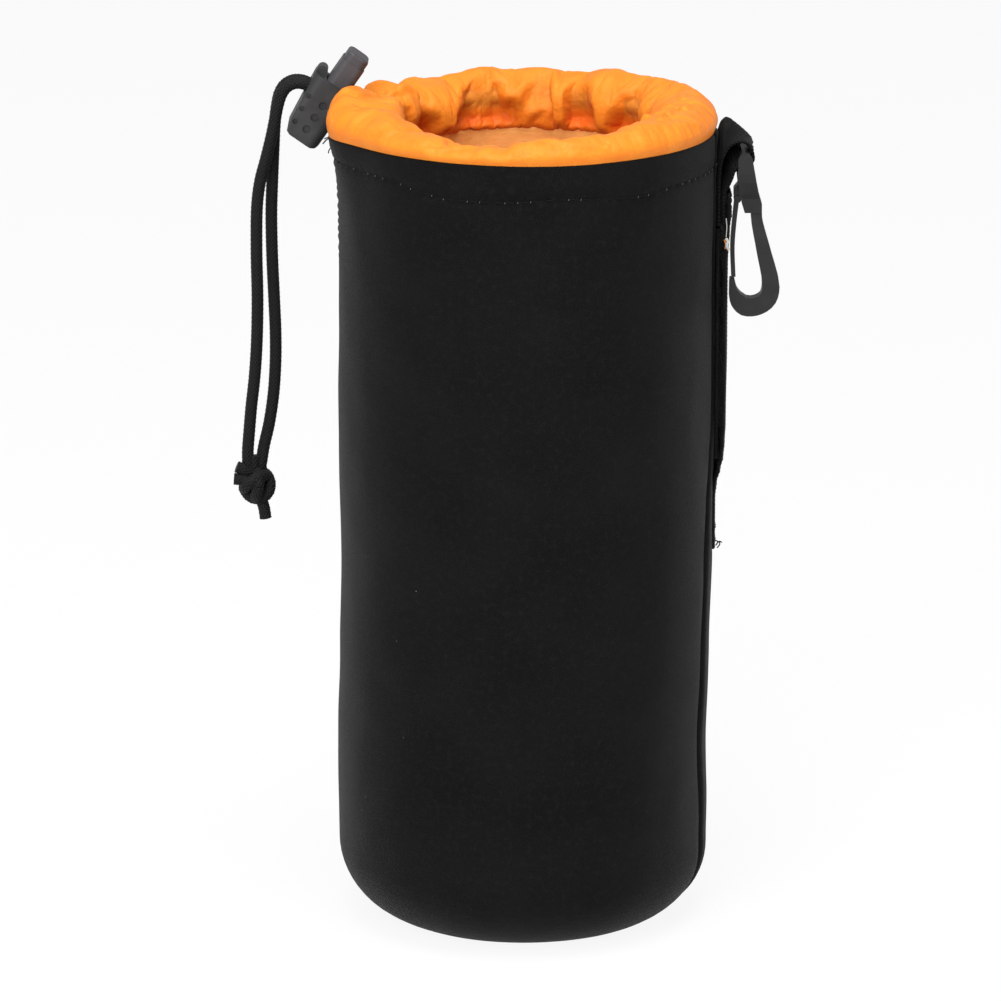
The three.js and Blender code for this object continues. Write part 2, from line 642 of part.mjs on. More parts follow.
// A strip that lies round the pouch's side: stations give its inner radius and height.
function sideStrip(stations, width, thickness) {
  const columns = STRIP_COLUMNS;
  const positions = [];
  const indices = [];
  const rows = stations.length;
  for (const layer of [0, thickness]) {
    for (const [radius, height] of stations) {
      for (let i = 0; i <= columns; i += 1) {
        const aside = (i / columns) * width - width / 2;
        const angle = aside / POUCH_RADIUS + STRAP_TURN_DEGREES * DEGREE;
        const reach = radius + layer;
        positions.push(reach * Math.cos(angle), reach * Math.sin(angle), height);
      }
    }
  }
  const at = (layer, row, column) => (layer * rows + row) * (columns + 1) + column;
  const quad = (a, b, c, d) => indices.push(a, b, c, a, c, d);
  for (let r = 0; r + 1 < rows; r += 1) {
    for (let i = 0; i < columns; i += 1) {
      quad(at(1, r, i), at(1, r, i + 1), at(1, r + 1, i + 1), at(1, r + 1, i));
      quad(at(0, r, i), at(0, r + 1, i), at(0, r + 1, i + 1), at(0, r, i + 1));
    }
    quad(at(0, r, 0), at(1, r, 0), at(1, r + 1, 0), at(0, r + 1, 0));
    quad(at(0, r, columns), at(0, r + 1, columns), at(1, r + 1, columns), at(1, r, columns));
  }
  for (let i = 0; i < columns; i += 1) {
    quad(at(0, 0, i), at(0, 0, i + 1), at(1, 0, i + 1), at(1, 0, i));
    const last = rows - 1;
    quad(at(0, last, i), at(1, last, i), at(1, last, i + 1), at(0, last, i + 1));
  }
  const geometry = new THREE.BufferGeometry();
  geometry.setAttribute("position", new THREE.Float32BufferAttribute(positions, 3));
  geometry.setIndex(indices);
  return geometryOf(solidOf(geometry));
}

// Radius of the web's outer face beside the strap, measured at the web's edge.
const webStack = POUCH_RADIUS + 2 * (LAYER_GAP + WEB_THICKNESS);
const strapSewnRadius = Math.hypot(webStack + LAYER_GAP, WEB_WIDTH / 2);

// How the strap leaves the wall above its foot: shares of its bulge and of its length.
const STRAP_LIFT_SHARES = [
  [0.45, 0.15], [0.86, 0.25], [1, 0.35], [1, 0.6], [1, 0.8], [1.28, 0.89],
];

function strapGeometry() {
  const free = strapOuterRadius - STRAP_THICKNESS;
  const foot = POUCH_RADIUS + LAYER_GAP;
  const stations = [[foot, strapBottom]];
  stations.push([foot, strapBottom + STRAP_SEWN_LENGTH]);
  for (const [out, up] of STRAP_LIFT_SHARES) {
    stations.push([foot + (free - foot) * out, strapBottom + STRAP_LENGTH * up]);
  }
  stations.push([strapSewnRadius, strapTop - STRAP_SEWN_LENGTH]);
  stations.push([strapSewnRadius, strapTop]);
  return sideStrip(stations, STRAP_WIDTH, STRAP_THICKNESS);
}

function backingGeometry() {
  const inner = POUCH_RADIUS + LAYER_GAP;
  const stations = BACKING_SHARES.map((share) => [inner, strapBottom + STRAP_LENGTH * share]);
  return sideStrip(stations, STRAP_WIDTH, BACKING_THICKNESS);
}

// Both edges of a band of changing half width along a smooth line in the XZ plane.
function ribbonEdges(points, halfWidths, steps) {
  const line = new THREE.CatmullRomCurve3(
    points.map(([x, z]) => new THREE.Vector3(x, z, 0)),
    false,
    "centripetal",
  );
  const left = [];
  const right = [];
  for (let i = 0; i <= steps; i += 1) {
    const t = i / steps;
    const place = line.getPoint(t);
    const along = line.getTangent(t);
    const at = t * (halfWidths.length - 1);
    const low = Math.min(Math.floor(at), halfWidths.length - 2);
    const half = THREE.MathUtils.lerp(halfWidths[low], halfWidths[low + 1], at - low);
    left.push([place.x - along.y * half, place.y + along.x * half]);
    right.push([place.x + along.y * half, place.y - along.x * half]);
  }
  return [left, right];
}

function ribbonShape(points, halfWidths, steps) {
  const [left, right] = ribbonEdges(points, halfWidths, steps);
  return polygon([...right, ...left.reverse()]);
}

// A band whose front and back edges follow a line each.
function loftedBand(frontPoints, backPoints, width, thickness) {
  const halves = [thickness / 2, thickness / 2];
  const steps = frontPoints.length * BAND_STEPS;
  const positions = [];
  for (const [points, y] of [[frontPoints, -width / 2], [backPoints, width / 2]]) {
    for (const edge of ribbonEdges(points, halves, steps)) {
      for (const [x, z] of edge) positions.push(x, y, z);
    }
  }
  const rows = steps + 1;
  const frontLeft = 0;
  const frontRight = rows;
  const backLeft = frontRight + rows;
  const backRight = backLeft + rows;
  const indices = [];
  const quad = (a, b, c, d) => indices.push(a, b, c, a, c, d);
  for (let r = 0; r < steps; r += 1) {
    const s = r + 1;
    quad(frontLeft + r, frontLeft + s, backLeft + s, backLeft + r);
    quad(frontRight + r, backRight + r, backRight + s, frontRight + s);
    quad(frontLeft + r, frontRight + r, frontRight + s, frontLeft + s);
    quad(backLeft + r, backLeft + s, backRight + s, backRight + r);
  }
  quad(frontLeft, backLeft, backRight, frontRight);
  quad(frontLeft + steps, frontRight + steps, backRight + steps, backLeft + steps);
  const geometry = new THREE.BufferGeometry();
  geometry.setAttribute("position", new THREE.Float32BufferAttribute(positions, 3));
  geometry.setIndex(indices);
  return geometryOf(solidOf(geometry));
}

// Middle lines of the web's front and back edges up the wall and over its fold, which is higher at
// the back: webs' thicknesses out and shares of its rise. Then its shoulder beside the eye bar, in
// shares of the radius of its turn round the bar.
const WEB_FRONT_SHARES = [[0, 0], [0, 0.37], [0.5, 0.57], [1.8, 0.714], [3.6, 0.82], [5.8, 0.853]];
const WEB_FRONT_SHOULDER = [0.55, 1.74];
const WEB_BACK_SHARES = [[0, 0], [0, 0.49], [0.2, 0.8], [0.8, 0.94], [2.2, 1], [4.4, 0.95]];
const WEB_BACK_SHOULDER = [0.96, 1.36];
const WEB_WRAP_DEGREES = [20, -10, -40, -70, -95];
// Its way back to the wall: thicknesses out from the inner layer, and down from the bar's turn.
const WEB_RETURN_SHARES = [[2.7, 1], [0.9, 3]];
const WEB_TAIL_SHARE = 0.28; // of the rise, where the tail lies flat again

function webPoints(riseShares, [aside, above]) {
  const half = WEB_THICKNESS / 2;
  const inner = POUCH_RADIUS + LAYER_GAP + half;
  const tail = inner + WEB_THICKNESS + LAYER_GAP;
  const turn = EYE_BAR_DIAMETER / 2 + LAYER_GAP + half;
  const rise = webCrest - webFoot;
  const points = riseShares.map(([out, up]) => [inner + WEB_THICKNESS * out, webFoot + rise * up]);
  points.push([pivotX + turn * aside, pivotZ + turn * above]);
  for (const degrees of WEB_WRAP_DEGREES) {
    const angle = degrees * DEGREE;
    points.push([pivotX + turn * Math.cos(angle), pivotZ + turn * Math.sin(angle)]);
  }
  for (const [out, down] of WEB_RETURN_SHARES) {
    points.push([tail + WEB_THICKNESS * out, pivotZ - turn - WEB_THICKNESS * down]);
  }
  points.push([tail, webFoot + rise * WEB_TAIL_SHARE]);
  points.push([tail, webFoot]);
  return points;
}

function webGeometry() {
  const front = webPoints(WEB_FRONT_SHARES, WEB_FRONT_SHOULDER);
  const back = webPoints(WEB_BACK_SHARES, WEB_BACK_SHOULDER);
  return loftedBand(front, back, WEB_WIDTH, WEB_THICKNESS);
}

// The spine, bowl and nose of the hook: places as shares of its reach and drop from the low
// corner under the nose, and half widths as shares of the reach.
const HOOK_LINE_SHARES = [
  [0.51, 1.08], [0.52, 0.93], [0.67, 0.61], [0.81, 0.29], [0.74, 0.165],
  [0.53, 0.1], [0.3, 0.1], [0.15, 0.165], [0.075, 0.26], [0.05, 0.365],
];
const HOOK_HALF_SHARES = [0.105, 0.107, 0.14, 0.17, 0.175, 0.18, 0.185, 0.15, 0.075, 0.045];

function hookLine() {
  const points = HOOK_LINE_SHARES.map(([x, z]) => [noseX + HOOK_REACH * x, bowlBottom + HOOK_DROP * z]);
  const halves = HOOK_HALF_SHARES.map((share) => HOOK_REACH * share);
  return ribbonShape(points, halves, points.length * BAND_STEPS);
}

// Side view of the eye's legs and the boss under them. Shares of the leg's thickness or of the boss's
// width, counted in from the side named, and of the drop, counted up from the boss.
const BOSS_PLACE_SHARE = 0.61; // of the hook's reach, for the boss's outer side
const EYE_INNER_SIDE_SHARES = [[0, 1], [0.05, 0.6], [0.15, 0.32]];
const BOSS_SIDE_SHARES = [[1, 0], [0, 0], [0, 0.16], [0.15, 0.3]];
const EYE_OUTER_SIDE_SHARES = [[-0.3, 0.6], [0, 1]];
const EYE_TOP_SHARE = 0.25;

function eyeSide() {
  const left = pivotX - EYE_LEG_THICKNESS / 2;
  const right = pivotX + EYE_LEG_THICKNESS / 2;
  const top = pivotZ + EYE_BAR_DIAMETER / 2;
  const chamfer = EYE_LEG_THICKNESS * EYE_TOP_SHARE;
  const bossRight = noseX + HOOK_REACH * BOSS_PLACE_SHARE;
  const place = (from, step, shares) => shares.map(([x, z]) => [from + step * x, bossBottom + EYE_DROP * z]);
  return polygon([
    [left + chamfer, top],
    ...place(left, EYE_LEG_THICKNESS, EYE_INNER_SIDE_SHARES),
    ...place(bossRight, -BOSS_WIDTH, BOSS_SIDE_SHARES),
    ...place(right, -EYE_LEG_THICKNESS, EYE_OUTER_SIDE_SHARES),
    [right - chamfer, top],
  ]);
}

// Front view, along X, of the same: two legs that close on the boss, with the web's way between.
// Shares of the half width named and of the drop, counted up from the boss.
const BOSS_FRONT_SHARES = [[1, 0], [1.1, 0.25]];
const EYE_OUTER_FRONT_SHARES = [[0.92, 0.58], [1, 0.75]];
const EYE_INNER_FRONT_SHARES = [[1, 0.69], [0.86, 0.6]];
const EYE_CROTCH_SHARES = [[0.7, 0.46]];

function eyeFront() {
  const inner = EYE_INNER_WIDTH / 2;
  const outer = inner + EYE_LEG_WIDTH;
  const top = pivotZ + EYE_BAR_DIAMETER;
  const boss = BOSS_DEPTH / 2;
  const place = (half, shares) => shares.map(([y, z]) => [half * y, bossBottom + EYE_DROP * z]);
  const rightHalf = [
    ...place(boss, BOSS_FRONT_SHARES),
    ...place(outer, EYE_OUTER_FRONT_SHARES),
    [outer, top],
    [inner, top],
    ...place(inner, EYE_INNER_FRONT_SHARES),
    ...place(boss, EYE_CROTCH_SHARES),
  ];
  const mirrored = rightHalf.map(([y, z]) => [-y, z]).reverse();
  return polygon([...rightHalf, ...mirrored]);
}

// The arm that carries the gate's knuckle, on the hook's inner side.
const ARM_REACH_SHARE = 0.42; // of the hook's reach
const ARM_SHOULDER_SHARE = 0.7; // of the arm's height

function armSolid() {
  const left = knuckleX - KNUCKLE_DIAMETER / 2;
  const right = noseX + HOOK_REACH * ARM_REACH_SHARE;
  const arm = polygon([
    [left, knuckleZ],
    [knuckleX + KNUCKLE_DIAMETER / 2, knuckleZ],
    [right, knuckleZ],
    [right, knuckleZ + ARM_HEIGHT],
    [left + KNUCKLE_DIAMETER / 2, knuckleZ + ARM_HEIGHT],
    [left, knuckleZ + ARM_HEIGHT * ARM_SHOULDER_SHARE],
  ]);
  return solidOf(extrudeAcross(arm, ARM_THICKNESS));
}

function acrossCylinder(x, z, radius, length) {
  const geometry = new THREE.CylinderGeometry(radius, radius, length, ROUND_SIDES);
  geometry.translate(x, 0, z);
  return geometry;
}

function hookGeometry() {
  const outerWidth = EYE_INNER_WIDTH + 2 * EYE_LEG_WIDTH;
  const front = extrudeUp(eyeFront(), noseX - HOOK_REACH, noseX + HOOK_REACH);
  // The front outline is drawn in (y, z) and raised along x.
  const turned = new THREE.Matrix4().set(0, 0, 1, 0, 1, 0, 0, 0, 0, 1, 0, 0, 0, 0, 0, 1);
  front.applyMatrix4(turned);
  let solid = solidOf(extrudeAcross(eyeSide(), outerWidth)).intersect(solidOf(front));
  const bar = acrossCylinder(pivotX, pivotZ, EYE_BAR_DIAMETER / 2, outerWidth - EYE_LEG_WIDTH);
  solid = solid.add(solidOf(bar));
  solid = solid.add(armSolid());
  solid = solid.add(solidOf(extrudeAcross(hookLine(), HOOK_THICKNESS)));
  const seat = KNUCKLE_DIAMETER / 2 + KNUCKLE_FIT;
  const socket = acrossCylinder(knuckleX, knuckleZ, seat, HOOK_THICKNESS + OVERRUN);
  solid = solid.subtract(solidOf(socket));
  const relief = extrudeAcross(gateShape(KNUCKLE_FIT), HOOK_THICKNESS + OVERRUN);
  solid = solid.subtract(solidOf(relief));
  return geometryOf(solid);
}

// The gate's leaf: from its knuckle down to its tip, which lies inside the nose. Half thicknesses in
// from the nose's outer side, and shares of the gate's length down from the knuckle.
const GATE_LINE_SHARES = [[2.2, 0.25], [1.3, 0.6], [1.9, 1]];
const GATE_ROOT_SHARES = [0.4, 1.1]; // of the half thickness: its root's place and half width

function gateShape(clearance) {
  const half = GATE_THICKNESS / 2;
  const [rootPlace, rootHalf] = GATE_ROOT_SHARES;
  const points = [[knuckleX - half * rootPlace, knuckleZ - KNUCKLE_DIAMETER / 4]];
  for (const [across, down] of GATE_LINE_SHARES) {
    points.push([noseX + half * across, knuckleZ - GATE_LENGTH * down]);
  }
  const halves = points.map((_, i) => (i ? half : half * rootHalf) + clearance);
  return ribbonShape(points, halves, points.length * BAND_STEPS);
}

function gateGeometry() {
  const leaf = solidOf(extrudeAcross(gateShape(0), GATE_WIDTH));
  const knuckle = acrossCylinder(knuckleX, knuckleZ, KNUCKLE_DIAMETER / 2, GATE_WIDTH);
  return geometryOf(leaf.add(solidOf(knuckle)));
}

// Materials
const CLOTH_ROUGHNESS = 0.9;
const PLASTIC_ROUGHNESS = 0.45;
const STEEL_ROUGHNESS = 0.35;
const SPRING_STEEL = 0xb4b6b9;

function cloth(color) {
  return new THREE.MeshStandardMaterial({ color, roughness: CLOTH_ROUGHNESS, metalness: 0 });
}

function plastic(color) {
  return new THREE.MeshStandardMaterial({ color, roughness: PLASTIC_ROUGHNESS, metalness: 0 });
}

function steel() {
  return new THREE.MeshStandardMaterial({ color: SPRING_STEEL, roughness: STEEL_ROUGHNESS, metalness: 1 });
}

const NEOPRENE = 0x1c1c1d;
const ORANGE_NYLON = 0xf58a22;
const ORANGE_LINING = 0xe86a3c;
const BLACK_CORD = 0x18181a;
const BLACK_WEBBING = 0x1a1a1b;
const BLACK_ACETAL = 0x2e2e30;
const GREY_ACETAL = 0x4c4a4e;

function named(name, geometry, material) {
  const mesh = new THREE.Mesh(geometry, material);
  mesh.name = name;
  return mesh;
}

// The lock's pieces, modelled upright in its own frame and leant over as a group.
function lockGroup() {
  const group = new THREE.Group();
  const x = -POUCH_RADIUS - LOCK_REACH - slotRise * Math.sin(lockTilt);
  const z = WALL_HEIGHT + LOCK_RISE - slotRise * Math.cos(lockTilt);
  group.position.set(x, LOCK_OFFSET, z);
  group.rotation.y = lockTilt;
  group.add(named("lock_barrel", barrelGeometry(), plastic(BLACK_ACETAL)));
  group.add(named("lock_plunger", plungerGeometry(), plastic(GREY_ACETAL)));
  group.add(named("lock_spring", springGeometry(), steel()));
  return group;
}

const pouch = new THREE.Group();
pouch.add(named("neoprene_wall", wallGeometry(), cloth(NEOPRENE)));
pouch.add(named("neoprene_base", discGeometry(0, WALL_THICKNESS), cloth(NEOPRENE)));
pouch.add(named("wall_lining", liningGeometry(), cloth(ORANGE_LINING)));
const liningBottom = WALL_THICKNESS + LAYER_GAP;
pouch.add(named("base_lining", discGeometry(liningBottom, LINING_THICKNESS), cloth(ORANGE_LINING)));
pouch.add(named("drawstring_collar", collarGeometry(), cloth(ORANGE_NYLON)));
pouch.add(named("hem_cord", tubeAlong(hemCurve(), cordRadius, RING_STEPS), cloth(BLACK_CORD)));
const frontStrand = tubeAlong(routeCurve(FRONT_ROUTE), cordRadius, STRAND_STEPS);
pouch.add(named("cord_strand_front", frontStrand, cloth(BLACK_CORD)));
const rearStrand = tubeAlong(routeCurve(REAR_ROUTE), cordRadius, STRAND_STEPS);
pouch.add(named("cord_strand_rear", rearStrand, cloth(BLACK_CORD)));
pouch.add(named("cord_knot", knotGeometry(), cloth(BLACK_CORD)));
pouch.add(lockGroup());
pouch.add(named("strap_backing", backingGeometry(), cloth(BLACK_WEBBING)));
pouch.add(named("belt_strap", strapGeometry(), cloth(BLACK_WEBBING)));
pouch.add(named("hook_webbing", webGeometry(), cloth(BLACK_WEBBING)));
pouch.add(named("hook_frame", hookGeometry(), plastic(BLACK_ACETAL)));
pouch.add(named("hook_gate", gateGeometry(), plastic(BLACK_ACETAL)));

export default pouch;
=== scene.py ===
import math

import bpy
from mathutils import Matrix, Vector, noise


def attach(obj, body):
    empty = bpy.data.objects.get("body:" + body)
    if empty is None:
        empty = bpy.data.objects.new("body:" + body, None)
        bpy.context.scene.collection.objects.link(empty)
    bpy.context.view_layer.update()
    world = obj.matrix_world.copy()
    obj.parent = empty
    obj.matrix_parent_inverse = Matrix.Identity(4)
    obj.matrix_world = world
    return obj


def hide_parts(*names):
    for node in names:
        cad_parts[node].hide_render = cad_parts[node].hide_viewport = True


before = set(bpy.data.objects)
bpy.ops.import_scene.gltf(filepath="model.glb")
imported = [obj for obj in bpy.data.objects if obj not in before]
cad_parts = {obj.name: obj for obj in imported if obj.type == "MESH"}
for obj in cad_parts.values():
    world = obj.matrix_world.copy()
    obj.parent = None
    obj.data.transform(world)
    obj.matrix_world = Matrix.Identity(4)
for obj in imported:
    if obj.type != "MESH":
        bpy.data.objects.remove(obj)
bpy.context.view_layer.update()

MM = 0.001
SIM_SCALE = 10  # cloth is solved at ten times its size

# The pouch, in millimetres like every size below that has no other unit in its name.
POUCH_RADIUS = 50
WALL_TOP = 216
WALL_THICKNESS = 4.5
CORNER_RADIUS = 20
BASE_RADIUS = POUCH_RADIUS - CORNER_RADIUS
FLARE_REACH = 3.4
FLARE_DROP = 26
FLARE_DEGREES = 193
FLARE_SPREAD = 12
LINING_RADIUS = 44.9
LINING_WIDE = 186  # height at which the lining has widened to the wall

# How the soft tube leans along X at some heights.
LEAN = [(0, -0.5), (25, -0.7), (48, -0.95), (75, -0.3), (100, 0.2), (130, 0), (WALL_TOP, 0)]

# The seam down the front right: its azimuth in degrees at some heights.
SEAM_LINE = [(0, -15), (27, -15), (58, -18), (99, -16.5), (117, -14), (128, -11), (140, -8), (WALL_TOP, -8)]
SEAM_WIDTH = 1.0
SEAM_DEPTH = 1.5

# The row of stitches below the top edge: depth under the edge at some azimuths.
TOPSTITCH_DROP = [
    (-180, 6), (-142, 6.6), (-134, 7), (-122, 8.8), (-115, 9.8), (-97, 9.9), (-80, 9.2), (-54, 10.1),
    (-45, 9.5), (-32, 8.9), (30, 9), (90, 9.6), (150, 6.4), (180, 6),
]
STITCH_PITCH = 3.3
STITCH_LENGTH = 2.5
STITCH_LIFT = 0.12
THREAD = 0.42

# Relief of the tube: its soft waves and ripples, the groove that the stitches pull and the roll above
# it, the pucker of the side's hem, the flat under the web and how far the strap's foot presses in.
WAVE = 0.5
RIPPLE = 0.16
STITCH_GROOVE = 0.5
STITCH_ROLL = 0.22
PUCKER = 0.24
UNDER_WEB = 0.2
FOOT_PRESS = 0.6
LIP = 0.9
BASE_GAP = 0.3
BASE_DOME = 0.15

# The gathered collar.
COLLAR_RADIUS = 49.7
# Height of the crest at some azimuths, and lobes on it: azimuth, spread in degrees and lift.
CREST_HEIGHT = [
    (-180, 227.6), (-176, 227.8), (-170, 226), (-162, 224), (-145, 223), (-134, 221.2), (-126, 221.4),
    (-117, 219.6), (-107, 219.7), (-103, 220.5), (-98, 219.6), (-92, 221.2), (-77, 221.7), (-62, 221.8),
    (-45, 223), (-20, 222.8), (0, 223.2), (35, 223.4), (55, 222.8), (72, 221.8), (95, 221.3), (118, 222),
    (134, 223), (138, 221.6), (142, 220), (147, 222.8), (152, 224.8), (158, 223.4), (165, 220.6),
    (171, 222.6), (176, 226.2), (180, 227.6),
]
CREST_LOBES = [(105, 8, 1.9), (87, 8, 2), (60, 8, 1.7)]
MOUTH_WIDTH = 66
MOUTH_DEPTH = 76
FOOT_HEIGHT = 208.8
CLOTH_THICKNESS = 0.45
PINCH_DEPTH = 6.2
PINCH_DEGREES = 167
PINCH_SPREAD = 11
# Puffs of the gathers: azimuth, half width in degrees, share of it left at the foot, and how far each
# hangs in at the cord and below it.
PUFFS = [
    (152, 7, 0.7, 2.4, 1.6), (129, 15, 0.5, 4, 4.6), (95, 8, 0.1, 3, 0.1), (86, 12, 1.1, 0.1, 2.2),
    (76, 4.6, 0.9, 3.6, 3.8), (54, 12, 0.3, 4, 4.4), (27, 5, 1, 2.2, 1.8), (9, 13, 0.8, 2, 2.4),
    (-14, 12, 0.7, 2.6, 2.8), (-39, 12, 0.7, 3, 3.2), (-62, 11, 0.7, 2.6, 2.8), (-83, 10, 0.7, 3, 3),
    (-106, 12, 0.7, 2.8, 3), (-128, 11, 0.7, 3, 3.4), (-150, 12, 0.7, 2.6, 3), (-174, 11, 0.7, 2, 2.4),
]
# Creases: depth, half width and the course as azimuths and shares of the collar's section.
CREASES = [
    (1.6, 0.9, [(168, 0.34), (163, 0.44), (155, 0.5), (146, 0.6)]),
    (0.8, 0.8, [(-172, 0.4), (178, 0.47), (170, 0.56), (163, 0.66)]),
    (0.9, 0.9, [(141, 0.3), (146, 0.44), (149, 0.6)]),
    (0.5, 1.2, [(38, 0.42), (20, 0.37), (5, 0.33)]),
    (0.5, 0.9, [(-122, 0.16), (-112, 0.27), (-104, 0.4)]),
    (0.4, 1.0, [(-86, 0.4), (-78, 0.27), (-66, 0.2)]),
    (0.4, 1.1, [(-50, 0.36), (-38, 0.26), (-24, 0.22)]),
]
SECTION_LENGTH = 36
COLLAR_ROWS = 52
COLLAR_COLUMNS = 480
# The cloth solver: the share that the cloth grows by, its pressure, how far a point may move, and the
# height that the crest gains by it, which its section leaves out.
GROWTH = 0.1
PRESSURE = 0.7
MOST_SWELL = 1.6
SWELL = 0.9

# The drawcord and its lock.
CORD_DIAMETER = 3.2
CORD_CLEARANCE = 0.35
BRAID_STRANDS = 10
LINE_STEP = 0.2
HEM_INSET = 4.6
OUTLET_HEIGHT = WALL_TOP + 1.8
HEM_SAG = 1.2
OUTLET_Y = 8
CORD_PITCH = 3.8
HEM_TURN = 17
# Both strands run side by side from the outlet through the lock, here in X and Z, then hang apart.
LOCK_ROUTE = [
    (-41.2, 217.8), (-43.0, 217.8), (-44.8, 217.95), (-46.4, 218.5), (-48.1, 219.4), (-50.8, 221.3),
    (-53.5, 223.19), (-56.0, 224.94), (-57.5, 225.95),
]
FRONT_ROUTE = [(x, 6.1, z) for x, z in LOCK_ROUTE] + [
    (-59.4, 6.1, 226.75), (-61.6, 6.1, 226.75), (-63.7, 6.1, 225.6), (-65.0, 6.1, 223.7),
    (-65.9, 6.1, 221.0), (-66.7, 6.1, 217.2), (-67.7, 6.0, 212.5), (-69.2, 5.9, 206.5),
    (-70.8, 5.8, 200.5), (-71.7, 5.8, 194.0), (-72.0, 5.8, 182.0), (-71.9, 6.0, 167.5),
    (-72.3, 6.2, 155.0), (-73.0, 6.4, 146.0), (-73.9, 6.6, 138.5), (-74.6, 6.8, 131.0),
    (-75.0, 6.9, 126.0), (-75.0, 7.0, 121.6),
]
REAR_ROUTE = [(x, 9.9, z) for x, z in LOCK_ROUTE] + [
    (-59.4, 9.9, 226.8), (-61.8, 9.9, 226.9), (-64.0, 9.9, 225.8), (-65.45, 9.9, 223.7),
    (-66.3, 9.9, 220.3), (-66.9, 9.9, 215.6), (-67.3, 9.9, 209.0), (-67.7, 9.9, 201.0),
    (-68.1, 9.9, 191.0), (-68.0, 9.9, 179.0), (-67.6, 9.8, 167.5), (-67.3, 9.6, 158.0),
    (-67.4, 9.3, 150.0), (-68.0, 9.0, 141.5), (-69.3, 8.7, 133.0), (-70.7, 8.4, 127.0),
    (-71.5, 8.2, 122.2),
]
# The knot: three rings of cord round each other, each a centre and two half axes, and in its pieces two
# cut ends at the left, the core, the last of both strands and the tail.
KNOT_RINGS = [
    ((-72.6, 7.6, 116.4), (3.4, 0, -0.6), (0.5, 1.2, 3.5)),
    ((-73.1, 7.6, 116.5), (0.9, -3.9, 0.4), (0.4, 0.4, 3.6)),
    ((-73.0, 7.4, 117.2), (3.0, 1.5, 1.4), (0, -3.4, 1.6)),
]
KNOT_PIECES = [
    [(-74.0, 6.6, 119.6), (-76.2, 5.9, 121.1), (-78.0, 5.7, 121.9)],
    [(-73.6, 6.0, 117.8), (-76.4, 5.5, 118.4), (-78.8, 5.4, 118.6)],
    [(-73.4, 7.4, 124.6), (-73.3, 7.3, 120.0), (-72.6, 7.6, 116.0), (-71.8, 7.6, 112.6)],
    [(-75.0, 7.0, 122.0), (-74.6, 7.0, 119.8), (-73.8, 7.2, 117.4)],
    [(-71.5, 8.2, 122.6), (-71.8, 8.0, 120.0), (-72.6, 7.8, 117.4)],
    [(-72.0, 7.4, 113.4), (-70.9, 7.2, 110.4), (-70.4, 7.1, 107.2)],
]

# Webbing: the belt strap, its backing and the narrow loop that carries the hook.
STRAP_TURN = 5
STRAP_WIDTH = 20
STRAP_THICKNESS = 1
STRAP_BOTTOM = 102
STRAP_TOP = 199.6
BACKING_RADIUS = 50.3
BACKING_THICKNESS = 1.2
BACKING_BOTTOM = 127
BACKING_TOP = 190
WEB_WIDTH = 12
WEB_THICKNESS = 1
RIB_PITCH = 1.15
RIB_HEIGHT = 0.09
# Inner radius of the strap at some heights.
STRAP_LINE = [
    (102, 49.65), (116, 49.7), (120, 50.1), (124, 51.1), (127, 51.8), (131, 52.15), (136.2, 52.4),
    (160.6, 52.4), (180.1, 52.4), (189.1, 52.9), (192.6, 53.24), (199.6, 53.24),
]
# Middle lines of the narrow web's front and back edges, in X and Z: up the wall and over, round under
# the hook's bar and down again.
WEB_UNDER_BAR = [(59.8, 209.9), (59.9, 208.7), (59.4, 207.6), (58.4, 206.9), (57.4, 206.75)]
WEB_FRONT = [
    (50.8, 190.6), (50.8, 202.6), (51.2, 207.1), (52.4, 210.4), (54.2, 212.7), (56.4, 213.45), (58.8, 212.5),
    *WEB_UNDER_BAR, (56.0, 206.5), (54.9, 205.4), (54.3, 203.6), (53.4, 201.6), (52.4, 199.9), (52.1, 198),
    (52.1, 190.6),
]
WEB_BACK = [
    (50.8, 190.6), (50.8, 205.5), (51.0, 213.1), (51.6, 216.2), (53.0, 217.5), (55.2, 216.2), (59.6, 211.9),
    *WEB_UNDER_BAR, (56.1, 207.4), (55.3, 209.4), (55.2, 212), (54.6, 214.2), (53.4, 214.4), (52.6, 211.5),
    (52.1, 205), (52.1, 190.6),
]
WEB_LENGTH = 62
WEB_RIB_HEIGHT = 0.15

# Camera: angle, distance and lens of the photograph's view.
CAMERA_ELEVATION = 15
CAMERA_DISTANCE_M = 1.53
CAMERA_LENS_MM = 204.6
AIM_M = (-0.0069, 0, 0.114)

# Lamps: place, aim and size in metres, and power in watts. The sky's strength lights the object only.
LAMPS = {
    "key": ((-0.42, -1.3, 1.0), (0, 0, 0.15), (0.9, 0.9), 17),
    "right": ((1.2, -0.5, 0.5), (0, 0, 0.1), (0.6, 1.0), 1.8),
    "top": ((0.0, -0.35, 1.35), (0, 0, 0.2), (0.7, 0.7), 14),
}
SKY_STRENGTH = 0.42
FLOOR_RADIUS_M = 9
FLOOR_WHITENESS = 0.9


def lerp(start, end, share):
    return start + (end - start) * share


def smooth(low, high, value):
    """0 below low, 1 above high, and a soft step between them."""
    share = min(max((value - low) / (high - low), 0), 1)
    return share * share * (3 - 2 * share)


def bump(degrees, centre, spread):
    """1 at a centre round the axis, fading out over a spread."""
    turn = (degrees - centre + 180) % 360 - 180
    return math.exp(-((turn / spread) ** 2))


def between(table, place):
    """A value from a table of (place, value) pairs, smoothly between its rows."""
    if place <= table[0][0]:
        return table[0][1]
    for (low, first), (high, second) in zip(table, table[1:]):
        if place <= high:
            return lerp(first, second, smooth(low, high, place))
    return table[-1][1]


def wrapped(degrees):
    return (degrees + 180) % 360 - 180


def soft_noise(x, y, z=0):
    return noise.noise(Vector((x, y, z)))


def polar(radius, degrees, height=0):
    """The point at a radius, an azimuth and a height."""
    angle = math.radians(degrees)
    return Vector((radius * math.cos(angle), radius * math.sin(angle), height))


